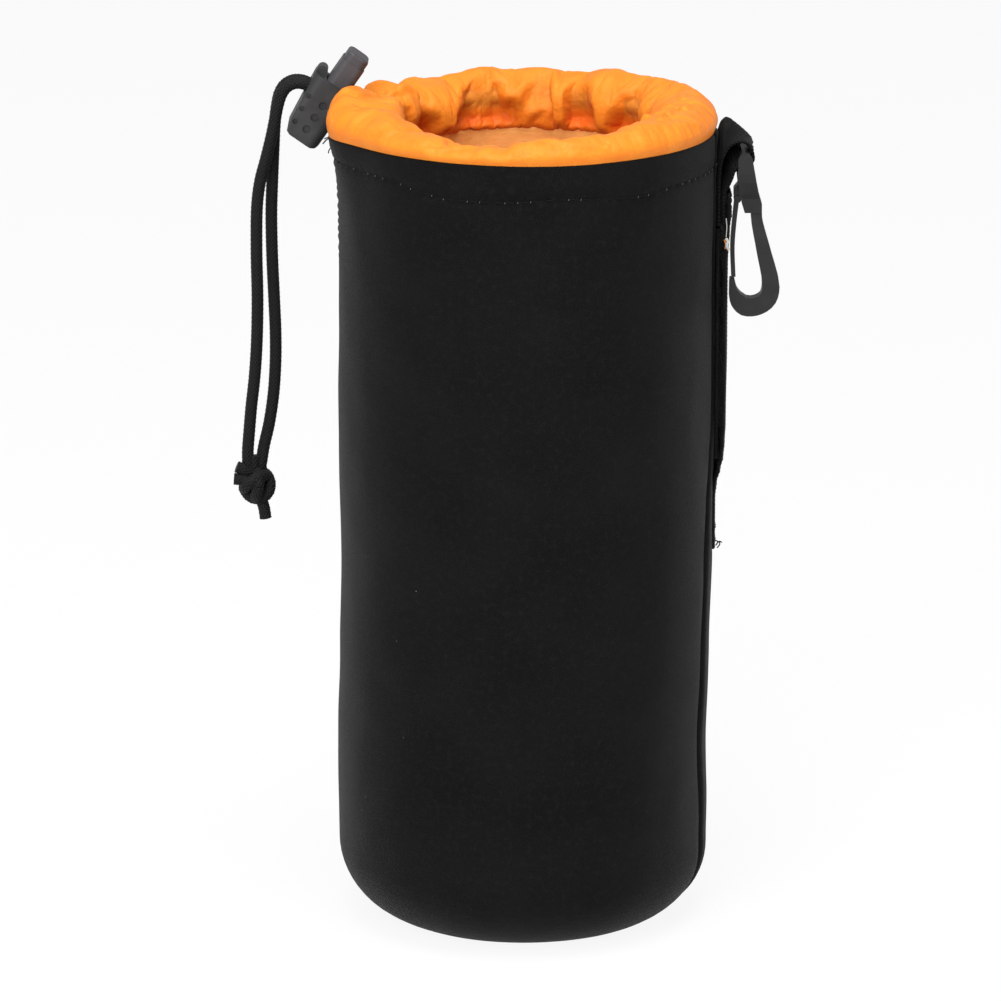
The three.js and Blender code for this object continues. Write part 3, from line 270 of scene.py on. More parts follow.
def arc(radius, height, bend, first, last, steps):
    """Points (radius, height) on a bend of a section, from one angle in degrees to another."""
    angles = [math.radians(lerp(first, last, i / steps)) for i in range(steps + 1)]
    return [(radius + bend * math.cos(angle), height + bend * math.sin(angle)) for angle in angles]


def curve_through(points, step):
    """Points a step apart on the centripetal Catmull-Rom curve through the given ones."""
    points = [Vector(p) for p in points]
    padded = [2 * points[0] - points[1]] + points + [2 * points[-1] - points[-2]]
    fine = []
    for p0, p1, p2, p3 in zip(padded, padded[1:], padded[2:], padded[3:]):
        t1 = (p1 - p0).length ** 0.5
        t2 = t1 + (p2 - p1).length ** 0.5
        t3 = t2 + (p3 - p2).length ** 0.5
        count = max(2, math.ceil((p2 - p1).length / step * 4))
        for i in range(count):
            t = t1 + (t2 - t1) * i / count
            a1 = p0 * ((t1 - t) / t1) + p1 * (t / t1)
            a2 = p1 * ((t2 - t) / (t2 - t1)) + p2 * ((t - t1) / (t2 - t1))
            a3 = p2 * ((t3 - t) / (t3 - t2)) + p3 * ((t - t2) / (t3 - t2))
            b1 = a1 * ((t2 - t) / t2) + a2 * (t / t2)
            b2 = a2 * ((t3 - t) / (t3 - t1)) + a3 * ((t - t1) / (t3 - t1))
            fine.append(b1 * ((t2 - t) / (t2 - t1)) + b2 * ((t - t1) / (t2 - t1)))
    fine.append(points[-1])
    return evenly(fine, step)


def evenly(fine, step):
    """The same line with its points an even step apart."""
    lengths = [0]
    for a, b in zip(fine, fine[1:]):
        lengths.append(lengths[-1] + (b - a).length)
    count = max(2, round(lengths[-1] / step))
    result = []
    at = 0
    for i in range(count + 1):
        target = lengths[-1] * i / count
        while at < len(fine) - 2 and lengths[at + 1] < target:
            at += 1
        stretch = lengths[at + 1] - lengths[at]
        share = (target - lengths[at]) / stretch if stretch else 0
        result.append(fine[at].lerp(fine[at + 1], share))
    return result


def placed(name, data):
    """A new object in the scene."""
    thing = bpy.data.objects.new(name, data)
    bpy.context.collection.objects.link(thing)
    return thing


def mesh_piece(name, points, faces):
    """A smooth mesh from points in millimetres."""
    mesh = bpy.data.meshes.new(name)
    mesh.from_pydata([point * MM for point in points], [], faces)
    mesh.shade_smooth()
    return placed(name, mesh)


def grid_mesh(name, rows, columns, place, round_rows=False):
    """A mesh, closed round its columns, from place(row, column): a point and its cloth coordinates."""
    grid = [[place(r, c) for c in range(columns + 1)] for r in range(rows + 1)]
    tall = rows if round_rows else rows + 1
    faces = []
    uvs = []
    for r in range(rows):
        for c in range(columns):
            corners = [(r, c), (r, c + 1), (r + 1, c + 1), (r + 1, c)]
            faces.append([(i % tall) * columns + j % columns for i, j in corners])
            uvs.extend(grid[i][j][1] for i, j in corners)
    piece = mesh_piece(name, [grid[r][c][0] for r in range(tall) for c in range(columns)], faces)
    layer = piece.data.uv_layers.new(name="cloth")
    layer.data.foreach_set("uv", [x for uv in uvs for x in uv])
    return piece


def finished(piece, material, slot_name, *nodes):
    """Gives a piece its material, sets it on the pouch and hides the CAD nodes it stands for. Its slot name
    is not used.
    """
    piece.data.materials.append(material)
    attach(piece, "pouch")
    if nodes:
        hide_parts(*nodes)
    return piece


def assign(thing, **values):
    for name, value in values.items():
        setattr(thing, name, value)
    return thing


def modified(piece, kind, **settings):
    assign(piece.modifiers.new(kind.title(), kind), **settings)


class Shader:
    """A node material with its Principled shader."""

    def __init__(self, name, **sockets):
        self.material = bpy.data.materials.new(name)
        self.material.use_nodes = True
        self.tree = self.material.node_tree
        self.surface = self.tree.nodes["Principled BSDF"]
        for socket, value in sockets.items():
            self.surface.inputs[socket.replace("_", " ")].default_value = value

    def node(self, kind, inputs=(), **settings):
        made = assign(self.tree.nodes.new(kind), **settings)
        for key, value in dict(inputs).items():
            self.join(value, made.inputs[key])
        return made

    def join(self, value, socket):
        if isinstance(value, bpy.types.NodeSocket):
            self.tree.links.new(value, socket)
        else:
            socket.default_value = value

    def maths(self, operation, first, second=0.0, third=0.0):
        inputs = {0: first, 1: second, 2: third}
        return self.node("ShaderNodeMath", inputs, operation=operation).outputs[0]

    def cloth_place(self):
        """The cloth's own coordinates, in millimetres."""
        return self.node("ShaderNodeUVMap", uv_map="cloth").outputs[0]

    def object_place(self):
        """The row frame's coordinates, in millimetres."""
        place = self.node("ShaderNodeTexCoord").outputs["Object"]
        return self.node("ShaderNodeVectorMath", {0: place, "Scale": 1 / MM}, operation="SCALE").outputs[0]

    def axes(self, place):
        return self.node("ShaderNodeSeparateXYZ", {0: place}).outputs

    def attribute(self, name):
        return self.node("ShaderNodeAttribute", attribute_name=name).outputs["Fac"]

    def noise(self, place, scale, detail=2.0, roughness=0.5):
        inputs = {"Vector": place, "Scale": scale, "Detail": detail, "Roughness": roughness}
        return self.node("ShaderNodeTexNoise", inputs).outputs[0]

    def wave(self, coordinate, period, phase=0.0):
        turn = self.maths("MULTIPLY_ADD", coordinate, 2 * math.pi / period, phase)
        return self.maths("SINE", turn)

    def mix(self, share, first, second):
        inputs = {"Factor": share, 6: first, 7: second}
        return self.node("ShaderNodeMix", inputs, data_type="RGBA").outputs[2]

    def ramp(self, value, low, high):
        inputs = {"Value": value, "From Min": low, "From Max": high}
        return self.node("ShaderNodeMapRange", inputs).outputs[0]

    def relief(self, height, depth_mm, strength=1.0, under=None):
        inputs = {"Height": height, "Distance": depth_mm * MM, "Strength": strength}
        if under is not None:
            inputs["Normal"] = under
        return self.node("ShaderNodeBump", inputs).outputs[0]

    def set(self, **sockets):
        for socket, value in sockets.items():
            self.join(value, self.surface.inputs[socket.replace("_", " ")])

    def done(self, color, roughness, normal):
        self.set(Base_Color=color, Roughness=roughness, Normal=normal)
        return self.material

    def blend(self, share, other):
        """Mixes another shader's output into the surface."""
        inputs = {0: share, 1: self.surface.outputs[0], 2: other}
        mixed = self.node("ShaderNodeMixShader", inputs).outputs[0]
        self.join(mixed, self.tree.nodes["Material Output"].inputs["Surface"])


def rgb(red, green, blue):
    return (red, green, blue, 1)


# Camera
def make_camera():
    lens = assign(bpy.data.cameras.new("camera"), lens=CAMERA_LENS_MM, sensor_width=36, clip_end=50)
    camera = placed("camera", lens)
    elevation = math.radians(CAMERA_ELEVATION)
    aim = Vector(AIM_M)
    away = Vector((0, -math.cos(elevation), math.sin(elevation)))
    camera.location = aim + away * CAMERA_DISTANCE_M
    camera.rotation_euler = (-away).to_track_quat("-Z", "Y").to_euler()
    bpy.context.scene.camera = camera


make_camera()


# Materials
def neoprene_material():
    """Black knit over foam rubber: fine ribs, a dusty sheen, faint patches and specks of lint."""
    shader = Shader("neoprene", Sheen_Weight=0.08, Sheen_Roughness=0.35, Specular_IOR_Level=0.06,
                    Sheen_Tint=rgb(0.75, 0.74, 0.76))
    place = shader.cloth_place()
    axes = shader.axes(place)
    knit = shader.maths("MULTIPLY", shader.wave(axes[0], 0.62), shader.wave(axes[1], 0.5))
    fuzz = shader.noise(place, 2.4, 3.0, 0.7)
    patches = shader.noise(place, 0.045, 3.0, 0.55)
    grain = shader.noise(place, 0.55, 4.0, 0.6)
    dark, light = rgb(0.0032, 0.0032, 0.0034), rgb(0.0056, 0.0056, 0.006)
    tone = shader.mix(shader.ramp(patches, 0.3, 0.75), dark, light)
    tone = shader.mix(shader.ramp(grain, 0.5, 0.78), tone, rgb(0.0075, 0.0074, 0.0075))
    cells = shader.node("ShaderNodeTexVoronoi", {"Vector": place, "Scale": 0.15}).outputs["Distance"]
    speck = shader.maths("LESS_THAN", cells, 0.021)
    fewer = shader.maths("GREATER_THAN", shader.noise(place, 0.09, 1.0), 0.52)
    lint = shader.maths("MULTIPLY", speck, fewer)
    tone = shader.mix(shader.maths("MULTIPLY", lint, 0.55), tone, rgb(0.3, 0.29, 0.28))
    weave = shader.relief(shader.maths("ADD", knit, fuzz), 0.05)
    return shader.done(tone, shader.ramp(fuzz, -0.4, 1.1), shader.relief(grain, 0.1, 0.6, weave))


def nylon_material(name, light, deep, cord_shade, thinness=0.2):
    """Thin orange cloth: taffeta weave and crumpled creases, with painted shade in deep folds and a painted
    shadow where the cord lies behind the cloth.
    """
    shader = Shader(name, Sheen_Weight=0.04, Sheen_Roughness=0.4, Specular_IOR_Level=0.18)
    place = shader.cloth_place()
    axes = shader.axes(place)
    weave = shader.maths("MULTIPLY", shader.wave(axes[0], 0.4), shader.wave(axes[1], 0.4))
    crumple = shader.noise(place, 0.17, 5.0, 0.55)
    fine = shader.noise(place, 0.9, 3.0, 0.6)
    tone = shader.mix(shader.ramp(crumple, 0.25, 0.75), deep, light)
    # Painted shade: the cloth turns deep red-orange where it lies deep in a fold.
    fold = shader.maths("MULTIPLY", shader.attribute("fold"), 0.85)
    tone = shader.mix(fold, tone, rgb(0.8, 0.11, 0.008))
    # Painted shadow of the black cord in the hem, darkening the cloth over it.
    cord_shade_share = shader.maths("MULTIPLY", shader.attribute("cord_near"), cord_shade)
    tone = shader.mix(cord_shade_share, tone, rgb(0.4, 0.24, 0.06))
    normal = shader.relief(shader.maths("ADD", crumple, fine), 0.5, 0.55, shader.relief(weave, 0.012))
    shader.blend(thinness, shader.node("ShaderNodeBsdfTranslucent", {"Color": tone}).outputs[0])
    return shader.done(tone, shader.ramp(fine, -0.3, 1.6), normal)


def cord_material():
    """Black polyester yarn, with fibres that run along each strand and painted shade in the braid's hollows.
    """
    shader = Shader("black_cord", Sheen_Weight=0.07, Sheen_Roughness=0.4, Specular_IOR_Level=0.17)
    place = shader.object_place()
    fibres = shader.noise(place, 5.0, 3.0, 0.7)
    light = shader.mix(shader.ramp(fibres, 0.35, 0.75), rgb(0.004, 0.004, 0.0042), rgb(0.018, 0.018, 0.0187))
    # Painted shade: near black in the hollows between the strands, on top of the mesh's own relief.
    crown = shader.ramp(shader.attribute("crown"), 0.15, 0.9)
    tone = shader.mix(crown, rgb(0.0015, 0.0015, 0.0015), light)
    return shader.done(tone, shader.ramp(fibres, -0.6, 1.2), shader.relief(fibres, 0.08))


def webbing_material():
    """Black webbing: the ribs are in the mesh, and their yarns and dust are here."""
    shader = Shader("black_webbing", Sheen_Weight=0.025, Sheen_Roughness=0.4, Specular_IOR_Level=0.08)
    place = shader.cloth_place()
    axes = shader.axes(place)
    yarns = shader.maths("MULTIPLY", shader.wave(axes[0], 0.75), shader.wave(axes[1], RIB_PITCH))
    fuzz = shader.noise(place, 2.2, 3.0, 0.7)
    dust = shader.noise(place, 0.14, 3.0, 0.6)
    dark, light = rgb(0.0022, 0.0022, 0.0024), rgb(0.0075, 0.0075, 0.0078)
    tone = shader.mix(shader.ramp(yarns, -1, 1), dark, light)
    tone = shader.mix(shader.ramp(dust, 0.55, 0.85), tone, rgb(0.014, 0.0137, 0.0137))
    normal = shader.relief(shader.maths("ADD", yarns, fuzz), 0.07)
    return shader.done(tone, shader.ramp(fuzz, -0.6, 1.2), normal)


def plastic_material(name, dark, light, rough):
    """Moulded acetal: a fine spark-eroded grain, faint flow marks and light scuffs."""
    shader = Shader(name, Specular_IOR_Level=0.32)
    place = shader.object_place()
    grain = shader.noise(place, 3.2, 2.0, 0.6)
    flow = shader.noise(place, 0.22, 3.0, 0.5)
    scuffs = shader.noise(place, 0.9, 6.0, 0.75)
    tone = shader.mix(shader.ramp(flow, 0.3, 0.75), dark, light)
    worn = shader.ramp(scuffs, 0.62, 0.78)
    tone = shader.mix(shader.maths("MULTIPLY", worn, 0.35), tone, rgb(0.13, 0.13, 0.135))
    gloss = shader.maths("MULTIPLY_ADD", grain, 0.16, rough)
    return shader.done(tone, gloss, shader.relief(shader.maths("ADD", grain, scuffs), 0.03, 0.7))


def steel_material():
    """Drawn spring wire: brushed along its length, with a trace of grease."""
    shader = Shader("spring_steel", Metallic=1.0)
    place = shader.object_place()
    drawn = shader.noise(place, 6.0, 3.0, 0.6)
    tone = shader.mix(drawn, rgb(0.42, 0.43, 0.44), rgb(0.6, 0.6, 0.61))
    return shader.done(tone, shader.ramp(drawn, -0.6, 2.4), shader.relief(drawn, 0.01))


def thread_material(name, color):
    """Sewing thread with the twist of its plies."""
    shader = Shader(name, Specular_IOR_Level=0.15)
    place = shader.object_place()
    plies = shader.noise(place, 4.0, 2.0, 0.6)
    dark = rgb(*(0.6 * x for x in color))
    return shader.done(shader.mix(plies, dark, rgb(*color)), 0.8, shader.relief(plies, 0.06))


NEOPRENE = neoprene_material()
NYLON = nylon_material("orange_nylon", rgb(0.965, 0.32, 0.028), rgb(0.93, 0.24, 0.018), 0.3)
# The lining's orange is set paler than the collar's: painted light, lifting the cloth that hangs in shade
# inside the mouth.
LINING = nylon_material("orange_lining", rgb(1.0, 0.48, 0.14), rgb(0.97, 0.36, 0.085), 0, 0.03)
CORD = cord_material()
WEBBING = webbing_material()
BARREL_PLASTIC = plastic_material("black_acetal", rgb(0.02, 0.02, 0.021), rgb(0.034, 0.034, 0.036), 0.4)
PLUNGER_PLASTIC = plastic_material("grey_acetal", rgb(0.048, 0.046, 0.051), rgb(0.068, 0.065, 0.072), 0.42)
HOOK_PLASTIC = plastic_material("black_acetal_hook", rgb(0.011, 0.011, 0.0115), rgb(0.019, 0.019, 0.02), 0.36)
STEEL = steel_material()
BLACK_THREAD = thread_material("black_thread", (0.005, 0.005, 0.0055))
PALE_THREAD = thread_material("pale_thread", (0.6, 0.58, 0.54))
ORANGE_THREAD = thread_material("orange_thread", (0.8, 0.25, 0.03))
GREY_THREAD = thread_material("grey_thread", (0.1, 0.097, 0.095))
DARK_ORANGE_THREAD = thread_material("dark_orange_thread", (0.42, 0.06, 0.02))


# Cords
def braided_tube(name, line, sides=72):
    """A round braid along a line in millimetres: strands wind both ways and pass over and under."""
    frames = []
    sideways = Vector((0, 1, 0))
    distance = 0
    for i, point in enumerate(line):
        ahead = line[min(i + 1, len(line) - 1)] - line[max(i - 1, 0)]
        ahead.normalize()
        sideways = (sideways - ahead * sideways.dot(ahead)).normalized()
        if i:
            distance += (point - line[i - 1]).length
        frames.append((point, sideways.copy(), ahead.cross(sideways), distance))
    radius = CORD_DIAMETER / 2
    lay = 2 * math.pi * radius
    crowns = []

    def place(r, c):
        point, side, up, along = frames[min(max(r - 1, 0), len(frames) - 1)]
        angle = 2 * math.pi * c / sides
        crown = braid_crown(angle, along / lay)
        if c < sides:
            crowns.append(crown)
        capped = r == 0 or r == len(frames) + 1
        reach = radius * (0.02 if capped else 0.82 + 0.22 * crown)
        out = side * math.cos(angle) + up * math.sin(angle)
        return point + out * reach, (radius * angle, along)

    braid = grid_mesh(name, len(frames) + 1, sides, place)
    write_values(braid, "crown", crowns)
    return braid


def write_values(piece, name, values):
    """Gives each vertex a value that a material reads by its name."""
    piece.data.attributes.new(name, "FLOAT", "POINT").data.foreach_set("value", values)


def braid_crown(angle, lays):
    """Height of a braid's surface, from 0 in its holes to 1 on its strands."""
    around = angle / (2 * math.pi) * BRAID_STRANDS
    first = around + lays * BRAID_STRANDS * 0.8
    second = around - lays * BRAID_STRANDS * 0.8
    over = (math.floor(first) + math.floor(second)) % 2 == 0
    across = (first if over else second) % 1
    along = (second if over else first) % 1
    crown = math.sqrt(max(1 - (2 * across - 1) ** 2, 0))
    return crown * (0.3 + 0.7 * (1 - (2 * along - 1) ** 2))


def make_strand(name, route, node):
    line = curve_through(route, LINE_STEP)
    strand = finished(braided_tube(name, line), CORD, "black_cord", node)
    [x * MM for x in route[0]]


def ring_line(centre, first, second):
    """A closed ring: its centre and its two half axes."""
    points = []
    steps = 72
    for i in range(steps + 1):
        angle = 2 * math.pi * i / steps
        points.append(Vector(centre) + Vector(first) * math.cos(angle) + Vector(second) * math.sin(angle))
    return evenly(points, LINE_STEP)


def make_knot():
    """Both cords' ends tied together in an overhand knot."""
    lines = [ring_line(*ring) for ring in KNOT_RINGS]
    lines += [curve_through(points, LINE_STEP) for points in KNOT_PIECES]
    whole = joined("tied_knot", [braided_tube(f"knot_{i}", line) for i, line in enumerate(lines)])
    return finished(whole, CORD, "black_cord", "cord_knot")


def joined(name, pieces):
    """Several meshes as one object."""
    context = {"active_object": pieces[0], "selected_editable_objects": pieces, "object": pieces[0]}
    with bpy.context.temp_override(**context):
        bpy.ops.object.join()
    pieces[0].name = name
    pieces[0].data.name = name
    return pieces[0]


def mouth_radius(degrees):
    angle = math.radians(degrees)
    return 1 / math.hypot(math.cos(angle) / (MOUTH_WIDTH / 2), math.sin(angle) / (MOUTH_DEPTH / 2))


def hem_height(degrees):
    """Height of the cord in the hem: at the outlet it leaves a little higher."""
    return OUTLET_HEIGHT - HEM_SAG * smooth(12, 32, abs(wrapped(degrees - PINCH_DEGREES)))


def make_hem_cord():
    """The cord's run through the hem, hidden in the collar's roll."""
    inner = POUCH_RADIUS - WALL_THICKNESS
    depart = inner - HEM_INSET
    side = CORD_PITCH / 2
    start = 180 - math.degrees(math.asin(OUTLET_Y / inner)) - HEM_TURN
    ends = [(-depart, side), (-depart + 1.6, side), (-depart + 3.2, 1.7 * side)]
    points = [(x, OUTLET_Y + y, OUTLET_HEIGHT) for x, y in ends]
    count = 32
    for i in range(count + 1):
        degrees = start - (360 - 2 * HEM_TURN) * i / count
        points.append(polar(mouth_radius(degrees) + HEM_INSET, degrees, hem_height(degrees)))
    points += [(x, OUTLET_Y - y, OUTLET_HEIGHT) for x, y in reversed(ends)]
    braid = braided_tube("hem_cord_braid", curve_through(points, 0.5), sides=20)
    finished(braid, CORD, "black_cord", "hem_cord")


knot = make_knot()
make_strand("drawcord_front", FRONT_ROUTE, "cord_strand_front")
make_strand("drawcord_rear", REAR_ROUTE, "cord_strand_rear")
make_hem_cord()


# Neoprene tube
def on_pouch(radius, degrees, height):
    """The point at a radius, an azimuth and a height of the leaning tube."""
    return polar(radius, degrees, height) + Vector((between(LEAN, height), 0, 0))


def flare_at(degrees, height):
    rise = min(max((height - WALL_TOP + FLARE_DROP) / FLARE_DROP, 0), 1)
    return FLARE_REACH * rise * rise * bump(degrees, FLARE_DEGREES, FLARE_SPREAD)


def stitch_height(degrees):
    return WALL_TOP - between(TOPSTITCH_DROP, wrapped(degrees))


def wall_relief(degrees, height):
    """How the tube's outer face departs from a true cylinder: soft waves, the seam and the stitching."""
    x, y, _ = polar(1, degrees)
    relief = WAVE * soft_noise(1.6 * x, 1.6 * y, height / 55) + RIPPLE * soft_noise(5 * x, 5 * y, height / 14)
    seam = (wrapped(degrees) - between(SEAM_LINE, height)) * math.radians(1) * POUCH_RADIUS
    relief -= SEAM_DEPTH * math.exp(-((seam / SEAM_WIDTH) ** 2))
    relief += 0.35 * smooth(0.6, 3, seam) * smooth(12, 5, seam)
    relief -= 0.1 * smooth(-5, -1, seam) * smooth(0, -1, seam)
    drop = height - stitch_height(degrees)
    pull = 0.75 + 0.25 * math.cos(2 * math.pi * degrees * math.radians(1) * POUCH_RADIUS / STITCH_PITCH)
    relief -= STITCH_GROOVE * pull * math.exp(-((drop / 0.75) ** 2))
    relief += STITCH_ROLL * math.exp(-(((drop - 3.5) / 2.6) ** 2))
    pucker = PUCKER * math.sin(2 * math.pi * height / 2.3 + 4 * soft_noise(height / 9, 0.3))
    flared = smooth(WALL_TOP - 40, WALL_TOP - FLARE_DROP, height) * smooth(WALL_TOP, WALL_TOP - 4, height)
    relief += pucker * bump(degrees, 182, 9) * flared
    webbed = smooth(BACKING_TOP - 6, BACKING_TOP, height) * smooth(WALL_TOP, WALL_TOP - 5, height)
    relief = lerp(relief, UNDER_WEB, bump(degrees, 0, 9) * webbed)
    foot = height - STRAP_BOTTOM
    pressed = smooth(-2, 0, foot) * smooth(22, 16, foot) * smooth(13, 11, abs(degrees - STRAP_TURN))
    return lerp(relief, -FOOT_PRESS, pressed)


def wall_columns():
    """Azimuths of the mesh's columns, closer together round the seam."""
    close = [-24 + 0.32 * i for i in range(63)]
    rest = 360 - (close[-1] - close[0])
    count = 300
    return close + [close[-1] + rest * (i + 1) / count for i in range(count)]


def wall_section():
    """Loop of (radius, height, share of the outer relief) up the outside, over the lip and down inside."""
    inner = POUCH_RADIUS - WALL_THICKNESS
    shoulder = WALL_TOP - LIP
    corner = arc(BASE_RADIUS, CORNER_RADIUS, CORNER_RADIUS, -90, 0, 16)[:-1]
    section = [(*spot, smooth(0, 10, i)) for i, spot in enumerate(corner)]
    section += [(POUCH_RADIUS, lerp(CORNER_RADIUS, shoulder, i / 190), 1) for i in range(191)]
    section += [(*spot, 1) for spot in arc(POUCH_RADIUS - LIP, shoulder, LIP, 0, 90, 4)[1:]]
    section += [(*spot, 0.4) for spot in arc(inner + LIP, shoulder, LIP, 90, 180, 4)[1:]]
    section += [(inner, lerp(shoulder, CORNER_RADIUS, i / 30), 0) for i in range(1, 31)]
    bend = CORNER_RADIUS - WALL_THICKNESS
    return section + [(*spot, 0) for spot in arc(BASE_RADIUS, CORNER_RADIUS, bend, 0, -90, 8)[1:]]


def make_wall():
    columns = wall_columns()
    section = wall_section()
    along = [0]
    for (r0, z0, _), (r1, z1, _) in zip(section, section[1:] + section[:1]):
        along.append(along[-1] + math.hypot(r1 - r0, z1 - z0))

    def place(r, c):
        radius, height, share = section[r % len(section)]
        degrees = columns[c]
        reach = radius + flare_at(degrees, height)
        if share:
            reach += share * wall_relief(degrees, height)
        return on_pouch(reach, degrees, height), (POUCH_RADIUS * math.radians(degrees), along[r])

    wall = grid_mesh("neoprene_tube", len(section), len(columns) - 1, place, round_rows=True)
    finished(wall, NEOPRENE, "neoprene", "neoprene_wall")


def make_base():
    """The bottom panel, with a soft edge: up over its lower face, round its rim and back in on top."""
    edge = WALL_THICKNESS / 2
    middle = 0.05
    flat = BASE_RADIUS - BASE_GAP - edge
    rings = 14
    count = 120
    profile = [(lerp(middle, flat, i / rings), BASE_DOME * (1 - (i / rings) ** 2)) for i in range(rings)]
    profile += arc(flat, edge, edge, -90, 90, 8)
    profile += [(lerp(flat, middle, i / rings), WALL_THICKNESS) for i in range(1, rings + 1)]

    def place(r, c):
        reach, height = profile[r]
        point = on_pouch(reach, 360 * c / count, height)
        return point, (point.x - between(LEAN, height), point.y + r)

    base = grid_mesh("neoprene_bottom", len(profile) - 1, count, place)
    finished(base, NEOPRENE, "neoprene", "neoprene_base")


make_wall()
make_base()


# Lining
def make_lining():
    """The orange cloth that hangs from the collar's foot, widens to the wall and closes over the base."""
    bend = CORNER_RADIUS - WALL_THICKNESS - 0.6
    rows = [(1 - smooth(0.3, 1, i / 30), lerp(FOOT_HEIGHT - 0.4, LINING_WIDE, i / 30)) for i in range(31)]
    rows += [(0, lerp(LINING_WIDE, CORNER_RADIUS, i / 44)) for i in range(1, 45)]
    rows += arc(-bend, CORNER_RADIUS, bend, 0, -90, 10)[1:]
    flat = rows[-1][1]
    rows += [(lerp(-bend, 0.1 - LINING_RADIUS, i / 12), flat) for i in range(1, 13)]
    count = 240

    def place(r, c):
        gathered, height = rows[r]
        degrees = 360 * c / count
        radius = LINING_RADIUS + flare_at(degrees, height) * 0.5
        if gathered > 0:
            wave = math.sin(math.radians(degrees * 38)) * soft_noise(degrees / 11, height / 20)
            radius = lerp(radius, foot_radius(degrees) + 0.5, gathered) + 0.7 * gathered * wave
        else:
            radius += gathered
        fade = smooth(0, 30, radius)
        creases = 0.35 * soft_noise(degrees / 6, height / 30) + 0.2 * soft_noise(degrees / 2.5, height / 60)
        turn = math.degrees(0.004) * soft_noise(degrees / 20, height / 12) * fade
        point = on_pouch(radius - abs(creases) * fade, degrees + turn, height)
        return point, (LINING_RADIUS * math.radians(degrees), r * 4.0)

    lining = grid_mesh("pouch_lining", len(rows) - 1, count, place)
    finished(lining, LINING, "orange_lining", "wall_lining", "base_lining")
    modified(lining, "SOLIDIFY", thickness=CLOTH_THICKNESS * MM, offset=0)


# Collar
def puff_at(degrees, level):
    """How far the gathers hang in at an azimuth, at a level from 0, the brow, to 1, the foot."""
    deepest = 0
    for centre, half, taper, at_cord, below in PUFFS:
        away = abs(wrapped(degrees - centre)) / (half * lerp(1.3, taper, level))
        depth = lerp(at_cord, below, smooth(0.4, 0.8, level))
        deepest = max(deepest, depth * smooth(1, 0.3, away))
    return deepest


def foot_radius(degrees):
    return mouth_radius(degrees) + 2.2 - 0.3 * puff_at(degrees, 1)


def collar_section(degrees):
    """Control points (radius, height) of the collar's section, from inside the seam to the hem's foot."""
    outside = COLLAR_RADIUS - PINCH_DEPTH * bump(degrees, PINCH_DEGREES, PINCH_SPREAD)
    mouth = mouth_radius(degrees)
    crest = between(CREST_HEIGHT, wrapped(degrees)) - SWELL
    crest += sum(lift * bump(degrees, centre, spread) for centre, spread, lift in CREST_LOBES)
    rise = crest - WALL_TOP
    foot = foot_radius(degrees)
    return [
        (COLLAR_RADIUS - 1.6, WALL_TOP - 2.2),
        (COLLAR_RADIUS - 0.5, WALL_TOP),
        (outside + 0.3, WALL_TOP + 0.42 * rise),
        (outside - 1, WALL_TOP + 0.8 * rise),
        (outside - 4, crest),
        (lerp(outside, mouth, 0.55), crest - 0.7 - 3.6 * bump(degrees, 181, 9)),
        (mouth + 3.2 - 0.5 * puff_at(degrees, 0), lerp(crest, WALL_TOP, 0.4)),
        (mouth + 2.4 - puff_at(degrees, 0.4), WALL_TOP + 0.4),
        (mouth + 3.4 - 1.2 * puff_at(degrees, 0.75), WALL_TOP - 3),
        (mouth + 3.8 - 1.25 * puff_at(degrees, 0.9), FOOT_HEIGHT + 2.2),
        (foot, FOOT_HEIGHT),
        (foot + 2.4, FOOT_HEIGHT - 1.5),
    ]


def crease_at(degrees, share):
    """Depth of the drawn creases at a place on the collar."""
    here = Vector((0, share * SECTION_LENGTH))
    depth = 0
    for deep, half, course in CREASES:
        aways = [math.radians(wrapped(azimuth - degrees)) * COLLAR_RADIUS for azimuth, _ in course]
        spots = [Vector((away, level * SECTION_LENGTH)) for away, (_, level) in zip(aways, course)]
        for first, second in zip(spots, spots[1:]):
            along = second - first
            part = min(max((here - first).dot(along) / along.dot(along), 0), 1)
            gap = (first + along * part - here).length / half
            if gap < 3:
                depth = max(depth, deep * math.exp(-gap * gap))
    return depth


def clear_of_cord(point):
    """Moves a point of the cloth out of the cord that runs in the hem."""
    radius = math.hypot(point.x, point.y)
    degrees = math.degrees(math.atan2(point.y, point.x))
    across = radius - mouth_radius(degrees) - HEM_INSET
    above = point.z - hem_height(degrees)
    away = math.hypot(across, above)
    least = CORD_DIAMETER / 2 + CORD_CLEARANCE
    if away >= least:
        return point
    across, above = across * least / away, above * least / away
    reach = mouth_radius(degrees) + HEM_INSET + across
    return Vector((point.x * reach / radius, point.y * reach / radius, hem_height(degrees) + above))


def behind_edge(point):
    """Keeps a point of the collar's outer side from swelling over the wall's top edge."""
    radius = math.hypot(point.x, point.y)
    degrees = math.degrees(math.atan2(point.y, point.x))
    most = COLLAR_RADIUS - 0.5 + flare_at(degrees, WALL_TOP) + 1.9 * smooth(-0.3, 2.8, point.z - WALL_TOP)
    reach = min(radius, most)
    return Vector((point.x * reach / radius, point.y * reach / radius, point.z))


